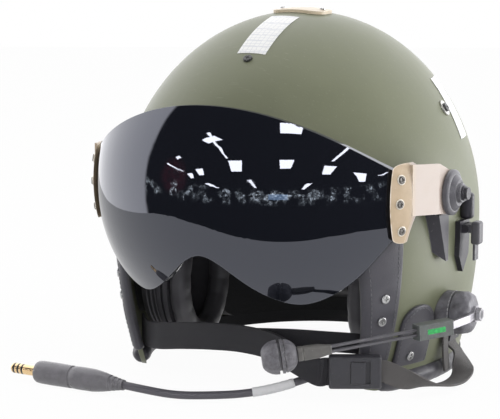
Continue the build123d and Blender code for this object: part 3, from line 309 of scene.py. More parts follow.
def frames_along(points):
    """Tangent and two steady side directions at each point of a line."""
    frames = []
    side = None
    for index, point in enumerate(points):
        before = points[max(index - 1, 0)]
        after = points[min(index + 1, len(points) - 1)]
        tangent = (after - before).normalized()
        if side is None:
            side = tangent.cross(
                Vector((0, 0, 1)) if abs(tangent.z) < 0.9 else Vector((1, 0, 0))
            ).normalized()
        side = (side - tangent * side.dot(tangent)).normalized()
        frames.append((tangent, side, tangent.cross(side)))
    return frames


def skin_faces(rows, segments):
    """Faces between the rings of a closed skin, and one over each end."""
    faces = []
    for row in range(rows - 1):
        low = row * segments
        for step in range(segments):
            turn = (step + 1) % segments
            faces.append((low + step, low + turn, low + segments + turn, low + segments + step))
    last = (rows - 1) * segments
    faces.append(tuple(range(segments - 1, -1, -1)))
    faces.append(tuple(last + step for step in range(segments)))
    return faces


def tube_mesh(points, radius, segments):
    """Points and faces of a closed round tube; radius is a number or a rule of place and angle."""
    vertices = []
    rule = radius if callable(radius) else lambda share, angle: radius
    frames = frames_along(points)
    last = len(points) - 1
    for index, (point, (_, side, over)) in enumerate(zip(points, frames)):
        for step in range(segments):
            angle = 2 * math.pi * step / segments
            reach = rule(index / last, angle)
            vertices.append(point + (side * math.cos(angle) + over * math.sin(angle)) * reach)
    return vertices, skin_faces(len(points), segments)


def stretch_of(points, start, end, step):
    """Evenly spaced points of a line between two lengths along it."""
    lengths = [0.0]
    for before, after in zip(points, points[1:]):
        lengths.append(lengths[-1] + (after - before).length)
    count = max(int((end - start) / step), 2)
    found = []
    index = 0
    for number in range(count + 1):
        wanted = min(start + (end - start) * number / count, lengths[-1])
        while index < len(points) - 2 and lengths[index + 1] < wanted:
            index += 1
        share = (wanted - lengths[index]) / max(lengths[index + 1] - lengths[index], 1e-9)
        found.append(points[index].lerp(points[index + 1], share))
    return found


braid_yarn = finish(
    "braid yarn", braid_colour, shader={"Sheen Weight": 0.3}, Tone=0.5, Patch_size=2.0, Grain_size=0.3,
    Grain_depth=0.05, Roughness=0.75,
)
braid_line = stretch_of(cord_line, braid_start, braid_end, braid_step)
braid_points, braid_faces = tube_mesh(braid_line, braid_core_radius, 24)
braid_frames = frames_along(braid_line)
for way in (-1, 1):
    for strand in range(braid_strands):
        run = []
        for index, (point, (_, side, over)) in enumerate(zip(braid_line, braid_frames)):
            gone = index * braid_step
            angle = 2 * math.pi * (strand / braid_strands + way * gone / braid_turn_length)
            lift = braid_swell * way * math.cos(2 * math.pi * gone * braid_strands / braid_turn_length)
            run.append(
                point + (side * math.cos(angle) + over * math.sin(angle)) * (braid_core_radius + lift)
            )
        strand_points, strand_faces = tube_mesh(run, braid_strand_radius, 6)
        first = len(braid_points)
        braid_points += strand_points
        braid_faces += [tuple(first + corner for corner in face) for face in strand_faces]
braid_piece = mesh_piece("braid_over_cord", braid_points, braid_faces, braid_yarn)


# Marker sleeve: white heat-shrunk tube round the middle of the cord, with a few wrinkles
# and its ends drawn in.
marker_start = 66
marker_end = 95
marker_radius = 3.2
marker_step = 0.5
marker_colour = (0.8, 0.8, 0.82)

marker_plastic = finish(
    "white sleeve", marker_colour, Tone=0.12, Patch_size=5.0, Grain_size=1.5, Grain_depth=0.1,
    Roughness=0.45, Worn_colour=(0.4, 0.4, 0.4), Scuffs=0.2,
)


def marker_rule(share, angle):
    """Radius of the shrunk sleeve, drawn in at its ends."""
    wrinkle = 0.05 * math.sin(share * 37 + 2 * math.sin(angle)) + 0.04 * math.sin(share * 61 + angle * 2)
    end = min(share, 1 - share)
    return marker_radius + wrinkle - 0.3 * math.exp(-end * 60)


marker_line = stretch_of(cord_line, marker_start, marker_end, marker_step)
marker_points, marker_faces = tube_mesh(marker_line, marker_rule, 28)
marker_piece = mesh_piece("marker_over_cord", marker_points, marker_faces, marker_plastic)


# Cord gland: moulded rubber cone at the left ear cup. It holds the cord where it leaves
# the cup, so that the cord doesn't bend sharply there.
gland_colour = (0.03, 0.03, 0.033)


def dress(node, material):
    """Gives a CAD node its material."""
    mesh = frame["nodes"][node].data
    mesh.materials.clear()
    mesh.materials.append(material)


gland_rubber = finish("gland rubber", gland_colour, Tone=0.2, Grain_depth=0.05, Roughness=0.55)
dress("cord_gland", gland_rubber)


# Plug: grey rubber moulded over the cord's end in steps, with a shank of gold contacts
# and black insulating rings between them.
plug_tail = Vector((-58, -149.5, 8))
plug_axis = (Vector((-152, -140.5, 8)) - plug_tail).normalized()
sharp_angle = math.radians(38)


def lathe(name, profile, start, axis, material, segments=72, wobble=None):
    """Turned piece: pairs of length along the axis and radius, from one end to the other."""
    origin = Vector(start)
    axis = Vector(axis).normalized()
    side = axis.cross(Vector((0, 0, 1))).normalized()
    over = axis.cross(side)
    points = []
    for along, radius in profile:
        for step in range(segments):
            angle = 2 * math.pi * step / segments
            reach = radius + (wobble(along, angle) if wobble else 0)
            points.append(origin + axis * along + (side * math.cos(angle) + over * math.sin(angle)) * reach)
    piece = mesh_piece(name, points, skin_faces(len(profile), segments), material)
    piece.data.set_sharp_from_angle(angle=sharp_angle)
    return piece


def settle(piece, body, slot, *nodes):
    """Puts a finished piece on its body and hides the CAD nodes that it stands for; the slot is not used.
    """
    if piece.name not in collection.objects:
        collection.objects.link(piece)
    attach(piece, body)
    if nodes:
        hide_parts(*nodes)
    return piece


# The plug's strong tone patches are partly the rubber's mottling and partly painted highlights.
plug_rubber = finish(
    "plug rubber", (0.165, 0.16, 0.175), Tone=0.9, Patch_size=6.0, Grain_size=0.7, Grain_depth=0.12,
    Roughness=0.34, Roughness_spread=0.4, Worn_colour=(0.3, 0.3, 0.3), Edge_wear=0.5, Scuffs=0.2,
)
plug_gold = finish(
    "plug gold", (0.8, 0.58, 0.32), shader={"Metallic": 1.0}, Tone=0.25, Patch_size=2.0, Grain_size=0.4,
    Grain_depth=0.01, Roughness=0.3, Roughness_spread=0.2, Worn_colour=(0.95, 0.85, 0.7), Edge_wear=0.8,
)
plug_black = finish("plug insulation", (0.02, 0.02, 0.02), Tone=0.2, Grain_depth=0.01, Roughness=0.35)
# Each profile holds pairs of a length along the axis and a radius
plug_profile = [
    (0.3, 3.2), (0.4, 3.6), (2.2, 3.8), (2.6, 3.5), (3.4, 3.6), (3.8, 4.1), (5.8, 4.4), (6.2, 4.1),
    (7, 4.2), (7.4, 4.8), (9.4, 5.1), (9.8, 4.8), (10.6, 5), (11, 5.5), (12.6, 5.8), (16, 6.5), (21, 7.3),
    (25, 7.75), (37, 7.9), (41, 7.75), (41.6, 7.3), (42.4, 7.3), (43, 7.8), (58, 8), (68, 7.9), (71, 7.6),
    (72.1, 7), (72.4, 6.2), (72.4, 3.6),
]
plug_shape = lathe("plug_overmould", plug_profile, plug_tail, plug_axis, plug_rubber)
dress("plug_contacts", plug_gold)
dress("plug_rings", plug_black)
settle(plug_shape, "helmet", "plug_rubber", "plug_body")
settle(comms_cord, "helmet", "cord_rubber", "comms_cord")
settle(braid_piece, "helmet", "braid_grey", "braided_sleeve")
settle(marker_piece, "helmet", "sleeve_white", "marker_sleeve")


# White table that the helmet stands on, and the hall round it: a white backdrop behind
# the helmet, and in front a dark hall whose ceiling lamps show in the visor.
table_front = 342
table_left = -560
table_right = 340
table_back = -2500
table_depth = -0.3
table_level = 0.92
table_share = 0.965
fill_level = 0.6
backdrop_level = 2.05
ceiling_level = 13
window_level = 2.2
clutter_level = 0.16
dark_level = (0.03, 0.031, 0.038)
window_blue = (0.45, 0.7, 1)
machine_red = (0.1, 0.012, 0.022)
machine_way = (-0.68, -0.72, 0.08)
ceiling_lowest = 0.015
# Slopes of the window's middle and half sizes, as seen from the helmet
window_shift = 0.04
window_drop = 0.048
window_half_width = 0.1
window_half_height = 0.03

table_white = bpy.data.materials.new("table white")
table_white.use_nodes = True
tree = table_white.node_tree
tree.nodes.clear()
path = add_node(tree, "ShaderNodeLightPath").outputs
seen = math_node(tree, "MAXIMUM", path["Is Camera Ray"], path["Is Glossy Ray"])
seen = math_node(tree, "MAXIMUM", seen, path["Is Transmission Ray"])
paper = add_node(tree, "ShaderNodeBsdfDiffuse", {"Color": (table_level, table_level, table_level, 1)})
glow = add_node(tree, "ShaderNodeEmission", {"Color": (1, 1, 1, 1), "Strength": 1.0})
both = add_node(
    tree, "ShaderNodeMixShader",
    {0: math_node(tree, "MULTIPLY", seen, table_share), 1: paper.outputs[0], 2: glow.outputs[0]},
)
add_node(tree, "ShaderNodeOutputMaterial", {"Surface": both.outputs[0]})
level_back = Vector((camera_back.x, camera_back.y, 0)).normalized()
# Corners as shares of the table's sides, across and towards the camera
table_corners = [
    camera_right * across + level_back * out
    for across, out in (
        (table_left, table_back), (table_right * 4, table_back), (table_right, 0),
        (table_right, table_front * 0.62), (table_right * 0.7, table_front * 0.9),
        (table_right * 0.4, table_front), (table_left * 0.58, table_front),
        (table_left * 0.86, table_front * 0.85), (table_left, table_front * 0.5), (table_left, 0),
    )
]
table = mesh_piece(
    "table", [(corner.x, corner.y, table_depth) for corner in table_corners],
    [tuple(range(len(table_corners)))], table_white,
)

# One ceiling lamp: a slanted box in the ceiling's plan
ceiling_group, given, result = effect_group(
    "ceiling lamp",
    [
        ("Across", 0.0), ("Out", 0.0), ("Centre across", 0.0), ("Centre out", 0.0), ("Width", 0.1),
        ("Depth", 0.1), ("Slant", 0.0),
    ],
    [("Mask", "NodeSocketFloat")],
)
from_row = math_node(ceiling_group, "SUBTRACT", given["Out"], given["Centre out"])
from_column = math_node(ceiling_group, "SUBTRACT", given["Across"], given["Centre across"])
from_column = math_node(
    ceiling_group, "SUBTRACT", from_column, math_node(ceiling_group, "MULTIPLY", from_row, given["Slant"])
)
in_row = math_node(
    ceiling_group, "LESS_THAN", math_node(ceiling_group, "ABSOLUTE", from_row), given["Depth"],
)
in_column = math_node(
    ceiling_group, "LESS_THAN", math_node(ceiling_group, "ABSOLUTE", from_column), given["Width"],
)
ceiling_group.links.new(math_node(ceiling_group, "MULTIPLY", in_row, in_column), result["Mask"])

# Places on the ceiling in ceiling heights, across and out, with half sizes and a slant
ceiling_lamps = (
    (0.155, 1.13, 0.18, 0.135, 0), (-1.36, 1.19, 0.2, 0.1, 0.3), (1.7, 1.28, 0.28, 0.09, 0.1),
    (-1.73, 3.2, 0.26, 0.65, -0.42), (0.14, 3.1, 0.21, 0.58, 0), (2.1, 3.75, 0.28, 0.85, 0.38),
    (-4.7, 3.9, 0.3, 0.9, -1), (6.9, 5.6, 0.75, 1.9, 1.25), (-3.6, 1.5, 0.24, 0.13, -1),
    (-1.42, 1.62, 0.035, 0.67, -0.24), (1.54, 1.8, 0.05, 0.68, 0.09), (-5.6, 2.3, 0.13, 0.86, -0.42),
    (-3.5, 11.6, 0.2, 4.5, -0.21), (3.75, 15.2, 0.3, 6, 0.16), (-16, 18.7, 0.7, 8.2, -0.66),
    (7.6, 2.7, 0.25, 1.2, 0.1), (9, 1.2, 0.6, 0.35, 0), (-7.5, 5, 0.35, 1.1, -1.2),
)

world = bpy.data.worlds.new("hall")
world.use_nodes = True
bpy.context.scene.world = world
tree = world.node_tree
tree.nodes.clear()
path = add_node(tree, "ShaderNodeLightPath").outputs
direction = add_node(tree, "ShaderNodeTexCoord").outputs["Generated"]
height = add_node(tree, "ShaderNodeSeparateXYZ", {"Vector": direction}).outputs["Z"]
across = dot_node(tree, direction, camera_right)
out = dot_node(tree, direction, level_back)
lifted = math_node(tree, "MAXIMUM", height, ceiling_lowest)
ceiling_across = math_node(tree, "DIVIDE", across, lifted)
ceiling_out = math_node(tree, "DIVIDE", out, lifted)
lamps = 0.0
for centre_across, centre_out, width, depth, slant in ceiling_lamps:
    lamps = math_node(tree, "MAXIMUM", lamps, add_node(
        tree, "ShaderNodeGroup", {
            "Across": ceiling_across, "Out": ceiling_out, "Centre across": centre_across,
            "Centre out": centre_out, "Width": width, "Depth": depth, "Slant": slant,
        }, node_tree=ceiling_group,
    ).outputs["Mask"])
lamps = math_node(tree, "MULTIPLY", lamps, ceiling_level)


def world_tint(colour, amount):
    """Colour times a number, as a vector."""
    return add_node(
        tree, "ShaderNodeVectorMath", {0: colour, "Scale": amount}, operation="SCALE"
    ).outputs["Vector"]


def world_sum(first, second):
    """Sum of two colours held as vectors."""
    return add_node(tree, "ShaderNodeVectorMath", {0: first, 1: second}, operation="ADD").outputs["Vector"]


horizon = math_node(
    tree, "MULTIPLY", ramp_node(tree, height, -0.14, -0.06), ramp_node(tree, height, 0.06, 0.0),
)
stuff = add_node(
    tree, "ShaderNodeTexVoronoi", {"Vector": direction, "Scale": 34.0, "Detail": 3.0, "Roughness": 0.7}
).outputs["Color"]
stuff_value = add_node(tree, "ShaderNodeSeparateColor", {"Color": stuff}).outputs[0]
heaps = add_node(
    tree, "ShaderNodeTexNoise", {"Vector": direction, "Scale": 9.0, "Detail": 1.0},
).outputs["Fac"]
clutter = math_node(tree, "MULTIPLY", math_node(tree, "POWER", stuff_value, 5.0), horizon)
clutter = math_node(tree, "MULTIPLY", clutter, ramp_node(tree, heaps, 0.44, 0.62))
slope_across = math_node(tree, "DIVIDE", across, out)
slope_up = math_node(tree, "DIVIDE", height, out)
window_across = math_node(tree, "ABSOLUTE", math_node(tree, "ADD", slope_across, window_shift))
window_up = math_node(tree, "ABSOLUTE", math_node(tree, "ADD", slope_up, window_drop))
in_width = math_node(tree, "LESS_THAN", window_across, window_half_width)
in_height = math_node(tree, "LESS_THAN", window_up, window_half_height)
window = math_node(tree, "MULTIPLY", in_width, in_height)
towards_machine = dot_node(tree, direction, machine_way)
machine = math_node(tree, "MULTIPLY", ramp_node(tree, towards_machine, 0.975, 0.99), stuff_value)
hall_colour = world_sum(dark_level, world_tint((1, 1, 1), lamps))
hall_colour = world_sum(
    hall_colour, world_tint((0.9, 1, 1), math_node(tree, "MULTIPLY", clutter, clutter_level)),
)
hall_colour = world_sum(
    hall_colour, world_tint(window_blue, math_node(tree, "MULTIPLY", window, window_level)),
)
hall_colour = world_sum(hall_colour, world_tint(machine_red, machine))
pale = ramp_node(tree, out, 0.02, -0.03)
backdrop = (backdrop_level, backdrop_level, backdrop_level * 1.02, 1)
hall_shown = add_node(tree, "ShaderNodeMix", {0: pale, 6: hall_colour, 7: backdrop}, data_type="RGBA")
white_seen = math_node(tree, "MAXIMUM", path["Is Camera Ray"], path["Is Transmission Ray"])
hall = add_node(tree, "ShaderNodeBackground", {"Color": hall_shown.outputs[2], "Strength": 1.0})
fill = add_node(tree, "ShaderNodeBackground", {"Color": (1, 1, 1, 1), "Strength": fill_level})
white = add_node(tree, "ShaderNodeBackground", {"Color": (1, 1, 1, 1), "Strength": 1.0})
lit = add_node(
    tree, "ShaderNodeMixShader", {0: path["Is Glossy Ray"], 1: fill.outputs[0], 2: hall.outputs[0]},
)
shown = add_node(tree, "ShaderNodeMixShader", {0: white_seen, 1: lit.outputs[0], 2: white.outputs[0]})
add_node(tree, "ShaderNodeOutputWorld", {"Surface": shown.outputs[0]})


def lamp(name, place, width, watts, mirrored=False):
    """Square soft lamp that faces the helmet; it stays out of mirrors unless told."""
    data = bpy.data.lights.new(name, "AREA")
    data.shape = "SQUARE"
    data.size = width
    data.energy = watts
    item = bpy.data.objects.new(name, data)
    item.location = place
    item.rotation_mode = "QUATERNION"
    item.rotation_quaternion = (camera_target - Vector(place)).to_track_quat("-Z", "Y")
    item.visible_glossy = mirrored
    item.visible_camera = False
    item.visible_transmission = False
    collection.objects.link(item)


lamp("soft_top", (0.35, -0.5, 1.9), 1.6, 9)
lamp("soft_left", (-1.6, -0.4, 0.7), 1.2, 6)
lamp("soft_rear", (1.3, 0.95, 0.05), 0.8, 12, mirrored=True)
lamp("soft_right", (1.6, 0.1, 0.6), 1.2, 7)
lamp("soft_low", (1.1, -1.0, 0.12), 0.8, 1.5)


# Outer shell: moulded composite with olive paint, slightly dusty, scuffed and with the
# faint ripple of a sprayed coat.
shell_paint = finish(
    "shell paint", (0.168, 0.179, 0.115),
    shader={"Specular IOR Level": 0.34, "Coat Weight": 0.06, "Coat Roughness": 0.3}, Tone=0.24,
    Patch_size=44.0, Grain_size=1.1, Grain_depth=0.04, Roughness=0.46, Roughness_spread=0.2,
    Worn_colour=(0.34, 0.35, 0.29), Scuffs=0.3, Edge_wear=0.3, Edge_width=1.0,
)
dress("outer_shell", shell_paint)


# Edge trim: extruded black rubber channel, cut to length and pressed over the shell's
# cut edge.
trim_rubber = finish(
    "trim rubber", (0.022, 0.022, 0.025), Tone=0.3, Patch_size=8.0, Grain_depth=0.05, Roughness=0.5,
)
dress("edge_trim", trim_rubber)


# Impact liner: black bead foam, moulded to the inside of the shell. It takes up a blow,
# and carries the comfort pads.
liner_foam = finish(
    "liner foam", (0.02, 0.02, 0.022), Tone=0.4, Patch_size=4.0, Grain_size=2.2, Grain_depth=0.4,
    Roughness=0.8,
)
dress("impact_liner", liner_foam)


# Comfort pads: leather over soft foam, quilted in channels, and glued inside the liner at
# the crown, the brow and the nape.
dome_half_width = 125
dome_half_length = 146
dome_centre_y = 6
crown_rise = 144
equator_height = 107
skirt_half_height = 220
pad_outer_lift = -21.75
pad_swell = 8.2
end_pad_corner = 8
crown_pad_half_width = 42
crown_pad_length = 112
crown_pad_corner = 30
brow_pad_half_width = 64
brow_pad_height = 24
brow_pad_foot = 166
nape_pad_half_width = 58
nape_pad_height = 46
nape_pad_foot = 16


def dome_normal(x, y, z):
    """Outward direction of the helmet's form at a point on it."""
    rise = crown_rise if z > equator_height else skirt_half_height
    return Vector(
        (x / dome_half_width**2, (y - dome_centre_y) / dome_half_length**2, (z - equator_height) / rise**2)
    ).normalized()


def side_point(y, z, lift, side=1):
    """Point over the helmet's side at a length and a height."""
    rise = crown_rise if z > equator_height else skirt_half_height
    across = 1 - ((y - dome_centre_y) / dome_half_length) ** 2 - ((z - equator_height) / rise) ** 2
    x = dome_half_width * math.sqrt(max(across, 0))
    point = Vector((x, y, z)) + dome_normal(x, y, z) * lift
    return Vector((point.x * side, point.y, point.z))


def crown_point(x, y, lift):
    """Point over the crown above a place of its plan."""
    up = math.sqrt(1 - (x / dome_half_width) ** 2 - ((y - dome_centre_y) / dome_half_length) ** 2)
    z = equator_height + crown_rise * up
    return Vector((x, y, z)) + dome_normal(x, y, z) * lift


def end_point(x, z, lift, way):
    """Point over the brow or the nape at a width and a height."""
    rise = crown_rise if z > equator_height else skirt_half_height
    along = math.sqrt(1 - (x / dome_half_width) ** 2 - ((z - equator_height) / rise) ** 2)
    y = dome_centre_y + way * dome_half_length * along
    return Vector((x, y, z)) + dome_normal(x, y, z) * lift


def spread_steps(count, rim=0.05):
    """Steps from 0 to 1, closer together at both rims."""
    inner = [rim + (1 - 2 * rim) * step / count for step in range(count + 1)]
    return [0, rim * 0.45, *inner, 1 - rim * 0.45, 1]


def slab(name, across, along, place, material, levels=1):
    """Closed slab: place(u, v, w) gives a point, w from 0 at its back to 1 at its face."""
    points = []
    faces = []
    columns = len(across)
    rows = len(along)
    for depth in (0, 1):
        points += [place(u, v, depth) for v in along for u in across]
    layer = columns * rows
    for row in range(rows - 1):
        for column in range(columns - 1):
            corner = row * columns + column
            quad = (corner, corner + 1, corner + columns + 1, corner + columns)
            faces.append(quad)
            faces.append(tuple(layer + index for index in reversed(quad)))
    rim = [*range(columns - 1)]
    rim += [row * columns + columns - 1 for row in range(rows - 1)]
    rim += [(rows - 1) * columns + column for column in range(columns - 1, 0, -1)]
    rim += [row * columns for row in range(rows - 1, 0, -1)]
    for index, corner in enumerate(rim):
        after = rim[(index + 1) % len(rim)]
        faces.append((corner, layer + corner, layer + after, after))
    return mesh_piece(name, points, faces, material, levels)


def crowned(share, width=0.12):
    """Height share of a cushion at a place from 0 to 1 between its seams."""
    near = min(share, 1 - share) / width
    return 1 if near >= 1 else math.sqrt(max(1 - (1 - near) ** 2, 0))


pad_leather = finish(
    "pad leather", (0.024, 0.023, 0.026), shader={"Sheen Weight": 0.1}, Tone=0.3, Patch_size=6.0,
    Grain_size=0.9, Grain_depth=0.12, Roughness=0.5, Roughness_spread=0.2,
)


def quilt(u, v, channels_u, channels_v):
    """Swell of a quilted pad between its sewn channels."""
    swell = crowned(u) * crowned(v)
    for share, count in ((u, channels_u), (v, channels_v)):
        if count > 1:
            cell = share * count % 1
            swell *= 0.62 + 0.38 * crowned(cell, 0.22)
    return swell


def rounded_span(share, half, corner, length):
    """Half width of a round-cornered outline at a share of its length."""
    from_end = min(share, 1 - share) * length
    if from_end >= corner:
        return half
    return half - corner + math.sqrt(max(corner**2 - (corner - from_end) ** 2, 0))


def crown_pad_place(u, v, w):
    """Point of the crown pad, across and along it and through its depth."""
    x = (2 * u - 1) * rounded_span(v, crown_pad_half_width, crown_pad_corner, crown_pad_length)
    y = dome_centre_y - crown_pad_length / 2 + crown_pad_length * v
    return crown_point(x, y, pad_outer_lift - w * pad_swell * quilt(u, v, 3, 4))


def brow_pad_place(u, v, w):
    """Point of the brow pad, across and up it and through its depth."""
    x = (2 * u - 1) * rounded_span(v, brow_pad_half_width, end_pad_corner, brow_pad_height)
    z = brow_pad_foot + brow_pad_height * v
    return end_point(x, z, pad_outer_lift - w * pad_swell * quilt(u, v, 5, 1), -1)


def nape_pad_place(u, v, w):
    """Point of the nape pad, across and up it and through its depth."""
    x = (2 * u - 1) * rounded_span(v, nape_pad_half_width, end_pad_corner, nape_pad_height)
    z = nape_pad_foot + nape_pad_height * v
    return end_point(x, z, pad_outer_lift - w * pad_swell * quilt(u, v, 4, 2), 1)


for node, place, counts in (
    ("crown_pad", crown_pad_place, (36, 48)), ("brow_pad", brow_pad_place, (60, 14)),
    ("nape_pad", nape_pad_place, (48, 24)),
):
    pad = slab(f"{node}_cushion", spread_steps(counts[0]), spread_steps(counts[1]), place, pad_leather)
    settle(pad, "helmet", "pad_leather", node)


# Ear cups: deep oval plastic shells with moulded ribs round them and an earphone in each,
# held on foam spacers.
ear_y = -18
ear_z = 58
cup_mouth_x = 76.3
cup_depth = 24
cup_half_length = 35
cup_half_height = 43
cup_draw_in = 3.4
rib_place_shares = (0.2, 0.36, 0.52, 0.68, 0.84)
rib_wall = 1.1
rib_steps = 72
cup_plastic = finish(
    "cup plastic", (0.11, 0.107, 0.12), Tone=0.25, Patch_size=10.0, Grain_size=0.5, Grain_depth=0.06,
    Roughness=0.45, Worn_colour=(0.16, 0.16, 0.17), Edge_wear=0.6,
)
spacer_foam = finish(
    "spacer foam", (0.03, 0.03, 0.032), Tone=0.4, Patch_size=3.0, Grain_size=0.8, Grain_depth=0.4,
    Roughness=0.9,
)
for node in ("ear_cup_left", "ear_cup_right"):
    dress(node, cup_plastic)
dress("cup_spacers", spacer_foam)
earphone_cloth = finish(
    "earphone", (0.02, 0.02, 0.02), Tone=0.4, Patch_size=1.5, Grain_size=0.6, Grain_depth=0.3,
    Roughness=0.7,
)
dress("earphones", earphone_cloth)
for side, label in ((1, "left"), (-1, "right")):
    points = []
    faces = []
    for place in rib_place_shares:
        ring = []
        for step in range(rib_steps + 1):
            angle = 2 * math.pi * step / rib_steps
            draw_in = cup_draw_in * place
            ring.append(Vector((
                side * (cup_mouth_x + cup_depth * place),
                ear_y + (cup_half_length - draw_in) * math.cos(angle),
                ear_z + (cup_half_height - draw_in) * math.sin(angle),
            )))
        rib_points, rib_faces = tube_mesh(ring, rib_wall, 8)
        first = len(points)
        points += rib_points
        faces += [tuple(first + corner for corner in face) for face in rib_faces]
    settle(mesh_piece(f"ear_cup_ribs_{label}", points, faces, cup_plastic), "helmet", "cup_plastic")


# Ear seals: leather rings over soft foam, fixed on the mouths of the ear cups, with a
# seam round the outer edge.
seal_face_x = 62
seal_thickness = 14
seal_half_length = 30.5
seal_half_height = 38.5
seal_half_width = 7.5
seal_roundness = 2.6
seal_seam_depth = 0.5
seal_crease_share = 0.05
seal_crease_waves = 9
seal_rings = 120
seal_sides = 24


def ring_faces(rings, sides):
    """Faces of a closed ring of round sections."""
    faces = []
    for step in range(rings):
        low = step * sides
        high = (step + 1) % rings * sides
        for part in range(sides):
            turn = (part + 1) % sides
            faces.append((low + part, high + part, high + turn, low + turn))
    return faces


def bulge_at(turn, power):
    """Reach of a rounded square's outline beside a circle's at an angle."""
    return 1 / (abs(math.cos(turn)) ** power + abs(math.sin(turn)) ** power) ** (1 / power)


seal_leather = finish(
    "seal leather", (0.11, 0.107, 0.12), shader={"Sheen Weight": 0.15}, Tone=0.3, Patch_size=7.0,
    Grain_size=1.0, Grain_depth=0.1, Roughness=0.42, Roughness_spread=0.2,
)
for side, label in ((1, "left"), (-1, "right")):
    points = []
    for step in range(seal_rings):
        angle = 2 * math.pi * step / seal_rings
        pinch = 1 - seal_crease_share * abs(math.sin(angle * seal_crease_waves)) ** 8
        for part in range(seal_sides):
            turn = 2 * math.pi * part / seal_sides
            bulge = bulge_at(turn, seal_roundness)
            reach = math.cos(turn) * bulge * seal_half_width * pinch
            depth = math.sin(turn) * bulge * seal_thickness / 2 * pinch
            if abs(math.sin(turn)) < 0.2 and math.cos(turn) > 0:
                reach -= seal_seam_depth
            points.append((
                side * (seal_face_x + seal_thickness / 2 + depth),
                ear_y + (seal_half_length + reach) * math.cos(angle),
                ear_z + (seal_half_height + reach) * math.sin(angle),
            ))
    faces = ring_faces(seal_rings, seal_sides)
    seal = mesh_piece(f"ear_seal_{label}_cushion", points, faces, seal_leather)
    settle(seal, "helmet", "seal_leather", f"ear_seal_{label}")


# Cheek flaps: leather folded round the front edge of each ear lobe, sewn along its rim
# and held by two screws.
leather_wall = 1.8
glue_gap = 0.15
shell_wall = 3
flap_rear_y = -67
flap_foot = 15
flap_top = 122
flap_corner = 7
flap_screws = ((-78, 69), (-78, 53.5))
flap_seam_shares = (0.06, 0.4)
flap_seam_steps = 59
screw_press_radius = 2.6
edge_foot_y = -79
edge_foot_z = 2
edge_lean = 22
edge_rise = 138
edge_curl_start = 114
edge_curl_size = 68
# The outer face ends and the inner one starts at these shares of the folded width
fold_start_share = 0.42
fold_end_share = 0.58
fold_turn_share = 0.16
stitch_pitch = 3.2
stitch_lift = 0.05

flap_leather = finish(
    "flap leather", (0.055, 0.053, 0.066), shader={"Sheen Weight": 0.15}, Tone=0.35, Patch_size=9.0,
    Grain_size=0.8, Grain_depth=0.12, Roughness=0.45, Roughness_spread=0.25, Worn_colour=(0.2, 0.2, 0.21),
    Edge_wear=0.4, Scuffs=0.25,
)
thread_grey = finish(
    "thread", (0.16, 0.16, 0.17), Tone=0.3, Patch_size=1.0, Grain_size=0.2, Grain_depth=0.05, Roughness=0.7,
)


def evaluated_mesh(item, name):
    """Plain mesh of an object with its modifiers done."""
    bpy.context.view_layer.update()
    found = bpy.data.meshes.new_from_object(item.evaluated_get(bpy.context.evaluated_depsgraph_get()))
    found.name = name
    return found


def pattern_tree(name, sizes, lay_out):
    """Geometry tree that puts a small shape where a rule lays it out; sizes are its own sockets."""
    group = bpy.data.node_groups.new(name, "GeometryNodeTree")
    group.interface.new_socket(name="Places", in_out="INPUT", socket_type="NodeSocketGeometry")
    sockets = {}
    for label, kind in (*sizes, ("Shape", "NodeSocketObject"), ("Finish", "NodeSocketMaterial")):
        sockets[label] = group.interface.new_socket(name=label, in_out="INPUT", socket_type=kind).identifier
    group.interface.new_socket(name="Pieces", in_out="OUTPUT", socket_type="NodeSocketGeometry")
    given = group.nodes.new("NodeGroupInput").outputs
    over = add_node(group, "GeometryNodeInputNamedAttribute", {"Name": "over"}, data_type="FLOAT_VECTOR")
    points, turned = lay_out(group, given, over.outputs["Attribute"])
    shape = add_node(group, "GeometryNodeObjectInfo", {"Object": given["Shape"]}).outputs["Geometry"]
    copies = add_node(
        group, "GeometryNodeInstanceOnPoints", {"Points": points, "Instance": shape, "Rotation": turned}
    ).outputs["Instances"]
    solid = add_node(group, "GeometryNodeRealizeInstances", {"Geometry": copies}).outputs["Geometry"]
    done = add_node(group, "GeometryNodeSetMaterial", {"Geometry": solid, "Material": given["Finish"]})
    add_node(group, "NodeGroupOutput", {"Pieces": done.outputs["Geometry"]})
    return group, sockets


def along_lines(group, given, over):
    """Even steps along lines, turned to follow them and to face outwards."""
    curve = add_node(group, "GeometryNodeMeshToCurve", {"Mesh": given["Places"]}).outputs["Curve"]
    steps = add_node(
        group, "GeometryNodeCurveToPoints", {"Curve": curve, "Length": given["Step"]}, mode="LENGTH",
    )
    along = add_node(
        group, "FunctionNodeAlignRotationToVector", {"Vector": steps.outputs["Tangent"]}, axis="X"
    ).outputs["Rotation"]
    turned = add_node(
        group, "FunctionNodeAlignRotationToVector", {
            "Rotation": along, "Vector": over,
        }, axis="Z", pivot_axis="X"
    ).outputs["Rotation"]
    return steps.outputs["Points"], turned


repeat_tree = pattern_tree("repeat along lines", [("Step", "NodeSocketFloat")], along_lines)


def grown(name, mesh, ways, tree, material, **values):
    """Plain piece that a pattern tree makes of a mesh and its points' outward directions."""
    over = mesh.attributes.new("over", "FLOAT_VECTOR", "POINT")
    over.data.foreach_set("vector", [value for way in ways for value in way])
    piece = bpy.data.objects.new(name, mesh)
    collection.objects.link(piece)
    group, sockets = tree
    modifier = piece.modifiers.new("pattern", "NODES")
    modifier.node_group = group
    for label, value in {**values, "Finish": material}.items():
        modifier[sockets[label]] = value
    made = evaluated_mesh(piece, name)
    piece.modifiers.clear()
    piece.data = made
    made.materials.clear()
    made.materials.append(material)
    made.shade_smooth()
    return piece


def repeated(name, lines, shape, step, material):
    """Piece of small shapes along lines; each line is a list of points and outward directions."""
    mesh = bpy.data.meshes.new(name)
    edges = []
    first = 0
    for line in lines:
        edges += [(first + index, first + index + 1) for index in range(len(line) - 1)]
        first += len(line)
    mesh.from_pydata([point * mm for line in lines for point, _ in line], edges, [])
    ways = [way for line in lines for _, way in line]
    return grown(name, mesh, ways, repeat_tree, material, Step=step * mm, Shape=shape)


